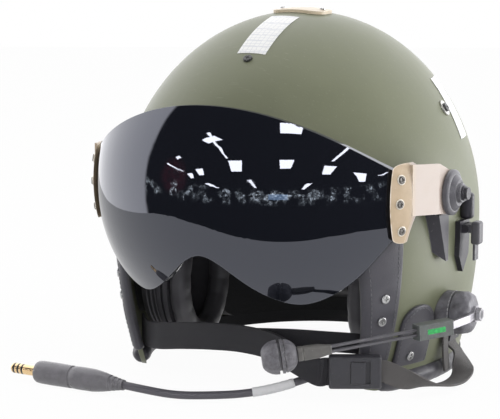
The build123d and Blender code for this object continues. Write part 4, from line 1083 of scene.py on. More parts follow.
def pattern_shape(name, points, faces):
    """Small shape that is repeated; it is kept out of the picture."""
    mesh = bpy.data.meshes.new(name)
    mesh.from_pydata([Vector(point) * mm for point in points], [], faces)
    shape = bpy.data.objects.new(name, mesh)
    collection.objects.link(shape)
    shape.hide_render = True
    return shape


def bead(name, length, width, height, rings=5, sides=8):
    """Capsule-like bead that lies along X."""
    points = []
    faces = []
    for ring in range(rings):
        share = ring / (rings - 1)
        along = (share - 0.5) * length
        swell = math.sin(math.pi * (0.12 + 0.76 * share)) ** 0.5
        for side in range(sides):
            angle = 2 * math.pi * side / sides
            points.append(
                (along, math.cos(angle) * width / 2 * swell, math.sin(angle) * height / 2 * swell)
            )
    for ring in range(rings - 1):
        for side in range(sides):
            turn = (side + 1) % sides
            low = ring * sides
            faces.append((low + side, low + sides + side, low + sides + turn, low + turn))
    faces.append(tuple(range(sides)))
    faces.append(tuple((rings - 1) * sides + side for side in range(sides - 1, -1, -1)))
    return pattern_shape(name, points, faces)


def stitch_spot(place, u, v):
    """Point just over a soft piece's face, and its outward direction."""
    point = place(u, v, 1)
    over = point - place(u, v, 0)
    return point + over.normalized() * stitch_lift, over


stitch_bead = bead("stitch shape", 2.2, 0.6, 0.45)


def face_edge(z):
    """Length place of the shell's front edge at a height."""
    curl = max(z - edge_curl_start, 0) ** 2 / edge_curl_size
    return edge_foot_y - edge_lean * (z - edge_foot_z) / edge_rise - curl


def press(y, z, places, reach=6):
    """Share of a soft face's swell that is left near its screws."""
    left = 1
    for place_y, place_z in places:
        distance = math.hypot(y - place_y, z - place_z)
        left = min(left, max(distance - screw_press_radius, 0) / reach)
    return left


def flap_place(side):
    """Rule of the folded flap's points on one side."""
    def place(u, v, w):
        z = flap_foot + (flap_top - flap_foot) * v
        end = min(z - flap_foot, flap_top - z)
        cut = flap_corner - math.sqrt(max(flap_corner**2 - max(flap_corner - end, 0) ** 2, 0))
        rear = flap_rear_y - cut
        front = face_edge(z) + shell_wall / 2
        middle = -shell_wall / 2
        swell = leather_wall * w
        if u <= fold_start_share:
            share = u / fold_start_share
            y = rear + (front - rear) * share
            puff = 0.7 * crowned(v, 0.06) * crowned(share * 0.5, 0.3) * press(y, z, flap_screws)
            ripple = 0.25 * math.sin(v * 23 + share * 3) * crowned(share, 0.3)
            return side_point(y, z, glue_gap + swell + w * (puff + ripple * crowned(v, 0.2)), side)
        if u >= fold_end_share:
            share = (u - fold_end_share) / fold_start_share
            y = front + (rear - front) * share
            return side_point(y, z, -shell_wall - glue_gap - swell, side)
        turn = math.pi * (u - fold_start_share) / fold_turn_share
        radius = shell_wall / 2 + glue_gap + swell + 0.4 * w * math.sin(turn)
        return side_point(front - radius * math.sin(turn), z, middle + radius * math.cos(turn), side)
    return place


fold_shares = [
    0, 0.01, 0.025, 0.06, 0.12, 0.18, 0.24, 0.3, 0.36, 0.42, 0.45, 0.48, 0.5, 0.52, 0.55, 0.58, 0.64, 0.72,
    0.8, 0.88, 0.94, 0.975, 0.99, 1,
]
flap_seam_heights = [0.035 + 0.93 * step / flap_seam_steps for step in range(flap_seam_steps + 1)]
for side, label in ((1, "left"), (-1, "right")):
    place = flap_place(side)
    flap = slab(f"cheek_flap_{label}_leather", fold_shares, spread_steps(44, 0.03), place, flap_leather)
    settle(flap, "helmet", "flap_leather", f"cheek_flap_{label}")
    rows = [[stitch_spot(place, share, v) for v in flap_seam_heights] for share in flap_seam_shares]
    stitches = repeated(f"flap_stitches_{label}", rows, stitch_bead, stitch_pitch, thread_grey)
    settle(stitches, "helmet", "flap_leather")


# Edge rolls: leather tubes packed with foam, lightly creased and sewn under the feet of
# the ear lobes.
roll_radius = 6.9
roll_half_width = 110.0
roll_half_length = 128.7
roll_front_y = -60
roll_rear_y = 30
roll_height = 7
roll_lowest = 0.2
roll_steps = 96
roll_end_shares = (0.6, 0.85, 0.97, 1)
roll_first = math.asin((roll_front_y - dome_centre_y) / roll_half_length)
roll_last = math.asin((roll_rear_y - dome_centre_y) / roll_half_length)


def roll_rule(share, angle):
    """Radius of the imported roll, creased across its length and closed at its ends."""
    crease = 0.25 * math.sin(share * 60 + 2 * math.sin(angle * 2)) * math.sin(share * 19)
    end = min(share, 1 - share) / 0.065
    closing = 1 if end >= 1 else math.sqrt(max(1 - (1 - end) ** 2, 0.002))
    return (roll_radius + min(crease, 0)) * closing


for side, label in ((1, "left"), (-1, "right")):
    line = []
    for step in range(roll_steps + 1):
        angle = roll_first + (roll_last - roll_first) * step / roll_steps
        x = side * roll_half_width * math.cos(angle)
        line.append(Vector((x, dome_centre_y + roll_half_length * math.sin(angle), roll_height)))
    front_end = line[0]
    rear_end = line[-1]
    front_way = (line[1] - front_end).normalized() * roll_radius
    rear_way = (rear_end - line[-2]).normalized() * roll_radius
    line = [front_end - front_way * share for share in reversed(roll_end_shares)] + line
    line += [rear_end + rear_way * share for share in roll_end_shares]
    roll_points, roll_faces = tube_mesh(line, roll_rule, 28)
    roll_points = [Vector((point.x, point.y, max(point.z, roll_lowest))) for point in roll_points]
    roll = mesh_piece(f"edge_roll_{label}_cushion", roll_points, roll_faces, flap_leather)
    settle(roll, "helmet", "flap_leather", "edge_rolls")


# Anchor tabs: leather tongues glued behind the flaps, sewn round their edges and held by
# a screw at the foot.
tab_front_y = -62
tab_rear_y = -31
tab_foot = 18
tab_top = 60
tab_round = 14
tab_screw = ((-49, 25),)
tab_seam_steps = 79


def tab_place(side):
    """Rule of the tab's points on one side."""
    def place(u, v, w):
        z = tab_foot + (tab_top - tab_foot) * v
        half = (tab_rear_y - tab_front_y) / 2
        over_round = max(z - (tab_top - tab_round), 0)
        half = half - tab_round + math.sqrt(max(tab_round**2 - over_round**2, 0.3))
        y = (tab_front_y + tab_rear_y) / 2 + (2 * u - 1) * half
        puff = 0.9 * crowned(u, 0.2) * crowned(v, 0.14) * press(y, z, tab_screw, 8)
        return side_point(y, z, glue_gap + w * (leather_wall + puff), side)
    return place


for side, label in ((1, "left"), (-1, "right")):
    place = tab_place(side)
    tab = slab(f"anchor_tab_{label}_leather", spread_steps(20), spread_steps(26, 0.03), place, flap_leather)
    settle(tab, "helmet", "flap_leather", "anchor_tabs")
    row = []
    for step in range(tab_seam_steps + 1):
        share = step / tab_seam_steps
        if share < 0.4:
            u, v = 0.07, 0.05 + share / 0.4 * 0.7
        elif share > 0.6:
            u, v = 0.93, 0.75 - (share - 0.6) / 0.4 * 0.7
        else:
            turn = math.pi * (share - 0.4) / 0.2
            u, v = 0.5 - 0.43 * math.cos(turn), 0.75 + 0.2 * math.sin(turn)
        row.append(stitch_spot(place, u, v))
    stitches = repeated(f"tab_stitches_{label}", [row], stitch_bead, stitch_pitch, thread_grey)
    settle(stitches, "helmet", "flap_leather")


# Screws and washers: bright steel heads on the lobes and the crown, black ones on washers
# in the shell, and dull ones in the visor.
screw_steel = finish(
    "screw steel", (0.55, 0.55, 0.55), shader={"Metallic": 1.0}, Tone=0.3, Patch_size=1.5, Grain_size=0.3,
    Grain_depth=0.01, Roughness=0.3, Roughness_spread=0.2,
)
screw_dark = finish(
    "screw black", (0.05, 0.05, 0.05), Tone=0.3, Patch_size=1.5, Roughness=0.35,
    Worn_colour=(0.5, 0.5, 0.5), Edge_wear=0.8, Edge_width=0.3,
)
dress("lobe_screws", screw_steel)
dress("visor_screws", finish(
    "visor screw", (0.2, 0.19, 0.18), shader={"Metallic": 0.8}, Tone=0.4, Patch_size=1.5, Roughness=0.4,
    Worn_colour=(0.6, 0.56, 0.5), Edge_wear=0.8, Edge_width=0.4,
))
dress("shell_screws", screw_dark)
washer_steel = finish(
    "washer steel", (0.6, 0.59, 0.57), shader={"Metallic": 0.7}, Tone=0.4, Patch_size=2.0, Roughness=0.4,
    Worn_colour=(0.55, 0.5, 0.42), Edge_wear=0.8, Edge_width=0.4,
)
dress("screw_washers", washer_steel)
dress("crown_screws", screw_steel)


# Chin straps: dark woven webbing, a wide strap from the wearer's right lobe to the buckle
# and a narrow one on the left. Grey webbing goes on from the buckle to its anchor behind
# the boom, with a short free tail.
strap_wall = 1.6
chin_width = 19
inner_width = 14
webbing_wall = 1.4
webbing_width = 15
tail_width = 9
weave_group, given, result = effect_group(
    "webbing weave", [("Rib pitch", 1.1), ("Chevron pitch", 4.0), ("Depth", 0.12)],
    [("Mask", "NodeSocketFloat"), ("Normal", "NodeSocketVector")],
)
run = add_node(
    weave_group, "ShaderNodeSeparateXYZ", {
        "Vector": add_node(weave_group, "ShaderNodeUVMap", uv_map="run").outputs[0]
    }
).outputs
zigzag = math_node(weave_group, "PINGPONG", run["Y"], given["Chevron pitch"])
slope = math_node(weave_group, "ADD", run["X"], zigzag)
slope_angle = math_node(weave_group, "MULTIPLY", slope, 6.2832)
wave = math_node(weave_group, "SINE", math_node(weave_group, "DIVIDE", slope_angle, given["Rib pitch"]))
threads = math_node(weave_group, "SINE", math_node(weave_group, "MULTIPLY", run["Y"], 8.0))
wave_height = math_node(weave_group, "MULTIPLY", wave, 0.7)
height = math_node(weave_group, "ADD", wave_height, math_node(weave_group, "MULTIPLY", threads, 0.3))
# Low parts of the weave take the strap's first, darker colour: painted shade between the ribs.
rib_shade_mask = ramp_node(weave_group, height, -1.0, 1.0)
weave_group.links.new(rib_shade_mask, result["Mask"])
weave_bump = add_node(
    weave_group, "ShaderNodeBump", {
        "Height": rib_shade_mask, "Distance": math_node(weave_group, "MULTIPLY", given["Depth"], mm),
    }
)
weave_group.links.new(weave_bump.outputs["Normal"], result["Normal"])


def webbing_finish(name, colour, pale, **values):
    """Woven strap material: its first colour fills the weave's low parts as painted shade between its ribs.
    """
    material = finish(
        name, colour, shader={"Sheen Weight": 0.1}, Roughness=0.7, Tone=0.4, Patch_size=12.0,
        Grain_depth=0.02,
    )
    tree = material.node_tree
    surface = tree.nodes["Principled BSDF"]
    weave = add_node(tree, "ShaderNodeGroup", node_tree=weave_group)
    for label, value in values.items():
        weave.inputs[label.replace("_", " ").capitalize()].default_value = value
    given_colour = tree.nodes["finish"].outputs["Colour"]
    blend = add_node(
        tree, "ShaderNodeMix", {0: weave.outputs["Mask"], 6: given_colour, 7: (*pale, 1)}, data_type="RGBA"
    )
    tree.links.new(blend.outputs[2], surface.inputs["Base Color"])
    tree.links.new(weave.outputs["Normal"], surface.inputs["Normal"])
    return material


# The first colour of each strap is painted shade in the weave's low parts, the second the colour on its
# ribs.
strap_dark = webbing_finish("strap webbing", (0.007, 0.0068, 0.0095), (0.017, 0.016, 0.022))
strap_brown = webbing_finish("webbing grey", (0.045, 0.042, 0.043), (0.13, 0.122, 0.12))


def smooth_route(places, steps):
    """Points of a smooth line that passes through each place."""
    places = [Vector(place) for place in places]
    found = []
    for index in range(len(places) - 1):
        before = places[max(index - 1, 0)]
        start = places[index]
        end = places[index + 1]
        after = places[min(index + 2, len(places) - 1)]
        for step in range(steps):
            t = step / steps
            found.append(0.5 * (
                2 * start + (end - before) * t + (2 * before - 5 * start + 4 * end - after) * t**2
                + (3 * start - before - 3 * end + after) * t**3
            ))
    found.append(places[-1])
    return found


def strap_piece(name, places, turns, width, wall, material, steps=10):
    """Flat webbing along a smooth line, its width along the turns, rounded at its edges."""
    line = smooth_route(places, steps)
    ways = smooth_route(turns, steps)
    half = width / 2
    section = [
        (-half, 0), (-half * 0.985, 0.5), (-half * 0.9, 0.5), (-half * 0.45, 0.5), (0, 0.5),
        (half * 0.45, 0.5), (half * 0.9, 0.5), (half * 0.985, 0.5), (half, 0),
    ]
    section += [(across, -up) for across, up in reversed(section[1:-1])]
    count = len(section)
    points = []
    faces = []
    pairs = []
    gone = 0.0
    for index, point in enumerate(line):
        tangent = (line[min(index + 1, len(line) - 1)] - line[max(index - 1, 0)]).normalized()
        way = (ways[index] - tangent * ways[index].dot(tangent)).normalized()
        over = tangent.cross(way)
        points += [point + way * across + over * up * wall for across, up in section]
        if index:
            gone_before = gone
            gone += (point - line[index - 1]).length
            low = (index - 1) * count
            for step in range(count):
                turn = (step + 1) % count
                faces.append((low + step, low + count + step, low + count + turn, low + turn))
                pairs.append((
                    (gone_before, section[step][0]), (gone, section[step][0]), (gone, section[turn][0]),
                    (gone_before, section[turn][0]),
                ))
    last = (len(line) - 1) * count
    faces.append(tuple(range(count)))
    pairs.append(tuple((0.0, across) for across, _ in section))
    faces.append(tuple(last + step for step in range(count - 1, -1, -1)))
    pairs.append(tuple((gone, section[step][0]) for step in range(count - 1, -1, -1)))
    mesh = bpy.data.meshes.new(name)
    mesh.from_pydata([point * mm for point in points], [], faces)
    layer = mesh.uv_layers.new(name="run")
    corner = 0
    for pair_set in pairs:
        for pair in pair_set:
            layer.data[corner].uv = pair
            corner += 1
    face_outwards(mesh)
    mesh.shade_smooth()
    mesh.materials.append(material)
    return bpy.data.objects.new(name, mesh)


def share_places(shares):
    """Points from shares of the helmet's half width, half length and widest height."""
    return [Vector((dome_half_width * x, dome_half_length * y, equator_height * z)) for x, y, z in shares]


buckle_middle = Vector((86.75, -94, 21))
buckle_across = Vector((0.9, 0.436, 0)).normalized()
upright = Vector((0, 0, 1))
chin_shares = (
    (-0.765, -0.384, 0.243), (-0.696, -0.466, 0.245), (-0.632, -0.534, 0.25), (-0.528, -0.586, 0.262),
    (-0.368, -0.627, 0.294), (-0.176, -0.658, 0.322), (0.032, -0.678, 0.336), (0.224, -0.695, 0.318),
    (0.352, -0.715, 0.27),
)
inner_shares = (
    (0.705, -0.49, 0.318), (0.624, -0.534, 0.336), (0.496, -0.582, 0.346), (0.32, -0.635, 0.355),
    (0.128, -0.673, 0.35),
)
chin_places = share_places(chin_shares) + [
    buckle_middle + buckle_across * along for along in (-25.5, -19.5, -9.8)
]
chin_strap = strap_piece(
    "chin_strap_webbing", chin_places, [upright] * len(chin_places), chin_width, strap_wall, strap_dark,
)
settle(chin_strap, "helmet", "strap_webbing", "chin_strap")
inner_places = share_places(inner_shares)
inner_turns = [upright] * len(inner_places)
inner_strap = strap_piece(
    "inner_strap_webbing", inner_places, inner_turns, inner_width, strap_wall, strap_dark,
)
settle(inner_strap, "helmet", "strap_webbing", "chin_strap_inner")
webbing_shares = (
    (0.9, -0.535, 0.15), (0.95, -0.47, 0.105), (0.996, -0.39, 0.07), (1.036, -0.292, 0.045),
    (1.056, -0.178, 0.036), (1.05, -0.068, 0.055), (1.016, 0.007, 0.103), (0.976, 0.033, 0.168),
)
webbing_turns = [upright, upright] + [Vector(way) for way in (
    (0.2, -0.1, 1), (0.7, -0.2, 0.7), (1, -0.2, 0.25), (1, -0.1, 0.1), (1, 0.1, 0.1), (0.9, 0.5, 0.2),
    (0.3, 1, 0.1), (-0.1, 1, 0), (0, 1, 0), (0, 1, 0),
)]
webbing_places = [
    buckle_middle + buckle_across * along for along in (9.8, 19.5)
] + share_places(webbing_shares)
webbing_places += [side_point(5, 25, 0.9), side_point(5, 40, 0.9)]
webbing = strap_piece(
    "side_strap_webbing", webbing_places, webbing_turns, webbing_width, webbing_wall, strap_brown,
)
settle(webbing, "helmet", "strap_webbing", "chin_strap_left")
tail_shares = (
    (0.9456, -0.068, 0.308), (0.9456, -0.068, 0.224), (0.95, -0.068, 0.14), (0.957, -0.068, 0.065),
)
tail_places = share_places(tail_shares)
tail_turns = [Vector((0, 1, 0))] * len(tail_places)
tail = strap_piece("strap_tail_webbing", tail_places, tail_turns, tail_width, webbing_wall, strap_brown)
settle(tail, "helmet", "strap_webbing", "strap_tail")


# Buckle, its sliding release and the webbing's anchor plate: moulded nylon, rubbed pale
# along the edges.
buckle_nylon = finish(
    "buckle nylon", (0.04, 0.039, 0.047), Tone=0.25, Patch_size=5.0, Grain_size=0.4, Grain_depth=0.05,
    Roughness=0.4, Worn_colour=(0.2, 0.2, 0.21), Edge_wear=0.7, Edge_width=0.5, Scuffs=0.3,
)
for node in ("buckle_body", "buckle_release"):
    dress(node, buckle_nylon)
dress("strap_anchor", buckle_nylon)


# Reflective tapes: white sheeting with a fine honeycomb of cells under its face, stuck on
# at the front of the crown and on the sides.
tape_border_colour = (0.66, 0.67, 0.7)


def tape_finish():
    """White sheeting with cells a little darker at their borders."""
    material = finish(
        "white tape", (0.86, 0.86, 0.85), Tone=0.06, Patch_size=10.0, Grain_depth=0.02, Roughness=0.35,
    )
    tree = material.node_tree
    places = add_node(tree, "ShaderNodeTexCoord").outputs["Object"]
    cells = add_node(
        tree, "ShaderNodeTexVoronoi", {
            "Vector": places, "Scale": 300.0, "Randomness": 0.15,
        }, feature="DISTANCE_TO_EDGE"
    ).outputs["Distance"]
    border = ramp_node(tree, cells, 0.02, 0.12)
    face_colour = tree.nodes["finish"].outputs["Colour"]
    blend = add_node(
        tree, "ShaderNodeMix", {0: border, 6: (*tape_border_colour, 1), 7: face_colour}, data_type="RGBA"
    )
    tree.links.new(blend.outputs[2], tree.nodes["Principled BSDF"].inputs["Base Color"])
    return material


tape_white = tape_finish()
dress("front_tape", tape_white)
dress("side_tapes", tape_white)


# Tan fittings: the crown plate and the visor's side arms, painted sheet metal worn at the
# edges. The arms are screwed to the visor, and each screw has a pale rim.
arm_bend_front = -82
arm_bend_rear = -74
# Greyer, washed-out colour on the arms' side parts: a painted sheen of the light on them
arm_side_sheen_colour = (0.45, 0.385, 0.365)
tan_paint = finish(
    "tan paint", (0.66, 0.55, 0.4), Tone=0.5, Patch_size=8.0, Grain_size=0.5, Grain_depth=0.03,
    Roughness=0.38, Roughness_spread=0.2, Worn_colour=(0.85, 0.78, 0.68), Edge_wear=0.9, Edge_width=0.8,
    Scuffs=0.25,
)
rim_pale = finish(
    "screw rim", (0.82, 0.77, 0.68), shader={"Metallic": 0.3}, Tone=0.2, Patch_size=1.0, Roughness=0.35,
)
arm_paint = finish(
    "arm paint", (0.52, 0.4, 0.27), Tone=0.3, Patch_size=7.0, Grain_size=0.5, Grain_depth=0.03,
    Roughness=0.36, Roughness_spread=0.2, Worn_colour=(0.9, 0.82, 0.74), Edge_wear=0.9, Edge_width=0.9,
    Scuffs=0.3,
)
tree = arm_paint.node_tree
lengthways = add_node(
    tree, "ShaderNodeSeparateXYZ", {"Vector": add_node(tree, "ShaderNodeTexCoord").outputs["Object"]}
).outputs["Y"]
along_arm = ramp_node(tree, lengthways, arm_bend_front * mm, arm_bend_rear * mm)
front_colour = tree.nodes["finish"].outputs["Colour"]
# Behind the bend the arms' side parts get three quarters of the sheen colour: a painted sheen, not a second
# paint.
side_sheen_share = math_node(tree, "MULTIPLY", along_arm, 0.75)
side_sheen_blend = add_node(
    tree, "ShaderNodeMix", {0: side_sheen_share, 6: front_colour, 7: (*arm_side_sheen_colour, 1)}, data_type="RGBA"
)
tree.links.new(side_sheen_blend.outputs[2], tree.nodes["Principled BSDF"].inputs["Base Color"])
dress("crown_plate", tan_paint)
for node in ("visor_arm_left", "visor_arm_right"):
    dress(node, arm_paint)
pivot_y = -33
pivot_z = 136
visor_half_span = 127
visor_radius = 122.4
visor_screw_x = 113.4
visor_screw_heights = (150.5, 135, 117)
screw_seat_lift = 2.5


def lens_seat(x, z, lift):
    """Place and outward direction on the outer visor at a width and a height."""
    ring = visor_radius * math.sqrt(1 - (x / visor_half_span) ** 2)
    forward = math.sqrt(ring**2 - (z - pivot_z) ** 2)
    over = Vector(
        (x / visor_half_span**2, -forward / visor_radius**2, (z - pivot_z) / visor_radius**2)
    ).normalized()
    return Vector((x, pivot_y - forward, z)) + over * lift, over


screw_seats = [(side * visor_screw_x, height) for side in (1, -1) for height in visor_screw_heights]
rims = [lens_seat(x, z, screw_seat_lift) for x, z in screw_seats]


def at_places(group, given, over):
    """The places themselves, each turned to face outwards."""
    turned = add_node(
        group, "FunctionNodeAlignRotationToVector", {"Vector": over}, axis="Z",
    ).outputs["Rotation"]
    return given["Places"], turned


place_tree = pattern_tree("put at places", [], at_places)


def placed(name, places, shape, material):
    """Piece of one small shape at each point, turned along its outward direction."""
    mesh = bpy.data.meshes.new(name)
    mesh.from_pydata([point * mm for point, _ in places], [], [])
    return grown(name, mesh, [way for _, way in places], place_tree, material, Shape=shape)


def rim(name, radius, wall, sides=24, parts=8):
    """Round ring that lies flat, its middle at the origin."""
    points = []
    for step in range(sides):
        angle = 2 * math.pi * step / sides
        for part in range(parts):
            turn = 2 * math.pi * part / parts
            reach = radius + wall * math.cos(turn)
            points.append((reach * math.cos(angle), reach * math.sin(angle), wall * math.sin(turn)))
    return pattern_shape(name, points, ring_faces(sides, parts))


screw_rim = rim("screw rim shape", 3, 0.55)
settle(placed("visor_screw_rims", rims, screw_rim, rim_pale), "outer_visor", "plate_tan")


# Pivot blocks and posts: black nylon blocks with a threaded post each, and on each post a
# turned knob that clamps the visor's arm. The lock unit has the same finish.
fitting_black = finish(
    "fitting black", (0.028, 0.026, 0.036), Tone=0.3, Patch_size=8.0, Grain_size=0.5, Grain_depth=0.06,
    Roughness=0.4, Worn_colour=(0.22, 0.22, 0.23), Edge_wear=0.6, Edge_width=0.6, Scuffs=0.3,
)
for node in ("pivot_bases", "pivot_posts", "lock_base", "lock_housing"):
    dress(node, fitting_black)
knob_grey = finish(
    "knob grey", (0.1, 0.098, 0.112), Tone=0.7, Patch_size=6.0, Grain_size=0.4, Grain_depth=0.04,
    Roughness=0.4, Roughness_spread=0.25, Worn_colour=(0.34, 0.34, 0.35), Edge_wear=0.9, Edge_width=0.6,
    Scuffs=0.4,
)
knob_x = 129
knob_profile = [
    (0, 4.1), (0, 15.1), (0.4, 15.5), (2.5, 15.5), (3, 15.2), (3.4, 14.6), (4, 13.4), (4.2, 12.7),
    (4.1, 12.4), (4.5, 12.2), (6.5, 9.4), (7, 8.8), (7, 7.6), (6.7, 7.4), (6.7, 6.8), (7.1, 6.5),
    (9.2, 6.4), (9.5, 6.1), (9.5, 4.1),
]
thread_pitch = 0.8
thread_root = 3.4
thread_crest = 4.15
thread_turns = 3
thread_start = 140.3
for side, label in ((1, "left"), (-1, "right")):
    start = Vector((side * knob_x, pivot_y, pivot_z))
    knob = lathe(f"pivot_knob_{label}_turned", knob_profile, start, (side, 0, 0), knob_grey)
    settle(knob, f"knob_{label}", "fitting_black", f"pivot_knob_{label}")
    threads = []
    for turn in range(thread_turns):
        threads += [
            (thread_pitch * turn, thread_root), (thread_pitch * (turn + 0.3), thread_crest),
            (thread_pitch * (turn + 0.5), thread_crest),
        ]
    start = Vector((side * thread_start, pivot_y, pivot_z))
    settle(
        lathe(f"post_threads_{label}", threads, start, (side, 0, 0), fitting_black), "helmet",
        "screw_black",
    )


# Visors: moulded polycarbonate, the outer one smoke tinted and the inner one clear, both
# polished. Along its cut edge the outer one has a painted highlight in a pale colour, and the
# inner one painted shade in a darker colour.
lens_painted_edge_width = 0.7


def lens_finish(name, tint, edge, share, index):
    """Polished clear plastic of one tint, whose cut edge is painted in the edge colour to stand in for the
    light on it.
    """
    material = bpy.data.materials.new(name)
    material.use_nodes = True
    tree = material.node_tree
    surface = tree.nodes["Principled BSDF"]
    surface.inputs["Transmission Weight"].default_value = share
    surface.inputs["IOR"].default_value = index
    places = add_node(tree, "ShaderNodeTexCoord").outputs["Object"]
    smudges = add_node(
        tree, "ShaderNodeTexNoise", {"Vector": places, "Scale": 60.0, "Detail": 5.0},
    ).outputs["Fac"]
    tree.links.new(ramp_node(tree, smudges, 0.45, 0.8, 0.01, 0.07), surface.inputs["Roughness"])
    # The edge colour along the cut edge is painted light, not a finish of the plastic.
    edges = edge_mask(tree, lens_painted_edge_width * mm, 0.998, 0.93)
    blend = add_node(tree, "ShaderNodeMix", {0: edges, 6: (*tint, 1), 7: (*edge, 1)}, data_type="RGBA")
    tree.links.new(blend.outputs[2], surface.inputs["Base Color"])
    return material


# The smoke visor's pale edge colour is a painted highlight; the clear visor's dark edge colour is painted
# shade.
visor_smoke = lens_finish("visor smoke", (0.008, 0.009, 0.013), (0.13, 0.135, 0.15), 0.1, 1.85)
visor_smoke.node_tree.nodes["Principled BSDF"].inputs["Specular Tint"].default_value = (0.83, 0.86, 1, 1)
visor_clear = lens_finish("visor clear", (0.72, 0.74, 0.76), (0.3, 0.31, 0.33), 1.0, 1.4)
dress("outer_visor", visor_smoke)
dress("inner_visor", visor_clear)
dress("inner_visor_arms", fitting_black)


# Lock lever: moulded grey grip of the lock unit behind the left pivot, rubbed pale by
# use.
lever_grey = finish(
    "lever grey", (0.09, 0.088, 0.1), Tone=0.4, Patch_size=5.0, Grain_size=0.5, Grain_depth=0.05,
    Roughness=0.42, Worn_colour=(0.38, 0.38, 0.4), Edge_wear=0.9, Edge_width=0.7, Scuffs=0.4,
)
dress("lock_lever", lever_grey)


# Boom: a rubber-covered hub with a sewn seam, a bent silver lever, two rods in a moulded
# clamp and the green key that locks them.
hub_y = -15
hub_z = 50
hub_radius = 14.5
hub_split_x = 127.5
seam_inset = 0.8
seam_lift = 0.1
seam_pitch = 2.9
seam_steps = 72
# The hub rubber's strong tone patches are painted highlights: pale spots scattered at random over the hub
# and its cap.
hub_rubber = finish(
    "hub rubber", (0.135, 0.132, 0.15), Tone=1.9, Patch_size=6.0, Grain_size=2.4, Grain_depth=0.5,
    Roughness=0.42, Roughness_spread=0.3, Worn_colour=(0.26, 0.26, 0.28), Edge_wear=0.5, Scuffs=0.5,
)
cap_profile = [
    (0.3, 3.1), (0.3, 13.8), (0.6, 14.5), (1.6, 14.8), (3.4, 14.9), (6, 14.8), (8.5, 14.5), (10.5, 13.7),
    (12, 12.4), (13, 10.6), (13.5, 8.6), (13.6, 6), (13.5, 3.1),
]


def cap_wobble(along, angle):
    """Soft dents of the rubber cover."""
    depth = min(along / 3, 1)
    return depth * (
        0.35 * math.sin(angle * 5 + along * 0.5) + 0.25 * math.sin(angle * 9 - along * 0.9)
    ) - 0.2 * depth


cap = lathe(
    "boom_cap_cover", cap_profile, (hub_split_x, hub_y, hub_z), (1, 0, 0), hub_rubber, wobble=cap_wobble,
)
settle(cap, "boom", "fitting_black", "boom_cap")
dress("boom_hub", hub_rubber)
thread_pale = finish(
    "pale thread", (0.42, 0.42, 0.43), Tone=0.3, Patch_size=1.0, Grain_depth=0.05, Roughness=0.7,
)
seam = []
for step in range(seam_steps + 1):
    angle = 2 * math.pi * step / seam_steps
    way = Vector((0, math.cos(angle), math.sin(angle)))
    seam.append((Vector((hub_split_x - seam_inset, hub_y, hub_z)) + way * (hub_radius + seam_lift), way))
settle(repeated("hub_seam", [seam], stitch_bead, seam_pitch, thread_pale), "helmet", "fitting_black")
lever_silver = finish(
    "lever silver", (0.4, 0.39, 0.42), shader={"Metallic": 0.7}, Tone=0.25, Patch_size=4.0, Grain_size=0.5,
    Grain_depth=0.04, Roughness=0.38, Roughness_spread=0.2, Worn_colour=(0.75, 0.75, 0.75), Edge_wear=0.7,
)
dress("boom_lever", lever_silver)
dress("boom_nut", lever_silver)
clamp_plastic = finish(
    "clamp plastic", (0.12, 0.13, 0.127), Tone=0.9, Patch_size=3.0, Grain_size=0.4, Grain_depth=0.05,
    Roughness=0.4, Worn_colour=(0.32, 0.32, 0.34), Edge_wear=0.9,
)
key_green = finish(
    "key green", (0.04, 0.42, 0.11), Tone=2.0, Patch_size=1.8, Grain_size=0.4, Grain_depth=0.03,
    Roughness=0.35, Worn_colour=(0.3, 0.75, 0.35), Edge_wear=0.6, Edge_width=0.4,
)
rod_black = finish(
    "rod black", (0.13, 0.127, 0.14), shader={"Metallic": 0.5}, Tone=0.3, Patch_size=4.0, Roughness=0.34,
    Worn_colour=(0.3, 0.3, 0.3), Scuffs=0.4,
)
dress("boom_clamp", clamp_plastic)
dress("boom_lock_key", key_green)
dress("boom_rods", rod_black)
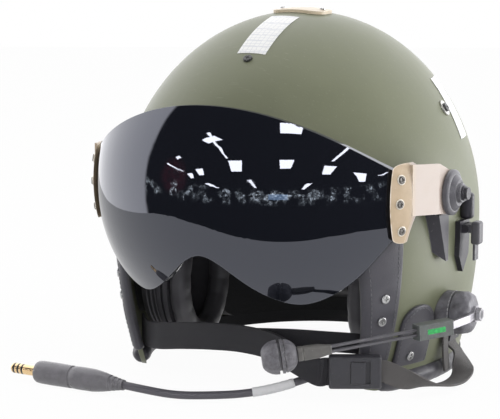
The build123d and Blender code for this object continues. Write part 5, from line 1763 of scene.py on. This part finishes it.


# Microphone: a ball of two moulded halves with grooves between them, on a tapered
# holder at the rods' end.
# The mic's strong tone patches are partly the plastic's mottled pale spots and partly painted highlights.
mic_plastic = finish(
    "mic plastic", (0.14, 0.136, 0.152), Tone=1.9, Patch_size=3.0, Grain_size=1.1, Grain_depth=0.35,
    Roughness=0.42, Worn_colour=(0.34, 0.33, 0.34), Edge_wear=0.9, Edge_width=0.7, Scuffs=0.5,
)
holder_plastic = finish(
    "holder plastic", (0.13, 0.125, 0.12), Tone=0.4, Patch_size=4.0, Grain_size=0.5, Grain_depth=0.06,
    Roughness=0.45, Worn_colour=(0.35, 0.34, 0.32), Edge_wear=0.7, Scuffs=0.4,
)
mic_middle = Vector((55, -144.4, 38.6))
rods_end = Vector((80.4, -130, 42.6))
to_holder = (rods_end - mic_middle).normalized()
front_profile = [
    (-11.6, 0.6), (-11.6, 4.6), (-11.2, 6.2), (-10.2, 7.8), (-8.4, 9.4), (-6.2, 10.7), (-3.6, 11.4),
    (-1.3, 11.6), (-0.9, 11.3), (-0.8, 9.2), (0.6, 9.1), (0.6, 0.6),
]
rear_profile = [
    (0.8, 0.6), (0.8, 9.2), (1.1, 11.2), (1.5, 11.5), (2.9, 11.5), (3.1, 10.6), (3.6, 10.6), (3.9, 11.2),
    (6, 10.7), (8.2, 9.5), (10, 7.8), (11.2, 5.8), (11.6, 4.6), (11.6, 3),
]


def mic_wobble(along, angle):
    """Shallow moulded flats round the capsule."""
    return -0.25 * abs(math.sin(angle * 6)) if abs(along) > 1.2 else 0


mic_front = lathe("mic_front_shell", front_profile, mic_middle, to_holder, mic_plastic, wobble=mic_wobble)
mic_rear = lathe("mic_rear_shell", rear_profile, mic_middle, to_holder, mic_plastic, wobble=mic_wobble)
settle(mic_front, "microphone", "mic_plastic", "mic_front")
settle(mic_rear, "microphone", "mic_plastic", "mic_rear")

# Length along the holder from the capsule's middle, then its height and width there
holder_sections = (
    (12, 8.6, 6.8), (12.3, 9.4, 7.6), (15, 9.4, 7.6), (15.3, 8.8, 7), (16, 8.8, 7), (16.3, 9.4, 7.6),
    (26, 8.8, 7.2), (31, 6.8, 5.8), (34, 6.2, 5.2), (34.3, 5.6, 4.6),
)
holder_across = to_holder.cross(Vector((0, 0, 1))).normalized()
holder_over = holder_across.cross(to_holder)
holder_points = []
holder_sides = 28
for along, tall, wide in holder_sections:
    for step in range(holder_sides):
        angle = 2 * math.pi * step / holder_sides
        across = holder_across * math.cos(angle) * wide / 2 + holder_over * math.sin(angle) * tall / 2
        holder_points.append(mic_middle + to_holder * along + across * bulge_at(angle, 4))
holder_faces = skin_faces(len(holder_sections), holder_sides)
holder = mesh_piece("mic_holder_moulding", holder_points, holder_faces, holder_plastic)
holder.data.set_sharp_from_angle(angle=sharp_angle)
settle(holder, "boom_slide", "fitting_black", "mic_holder")

# The small shapes that were repeated aren't pieces of the helmet
for shape in [item for item in bpy.data.objects if item.name.endswith("shape")]:
    bpy.data.objects.remove(shape)
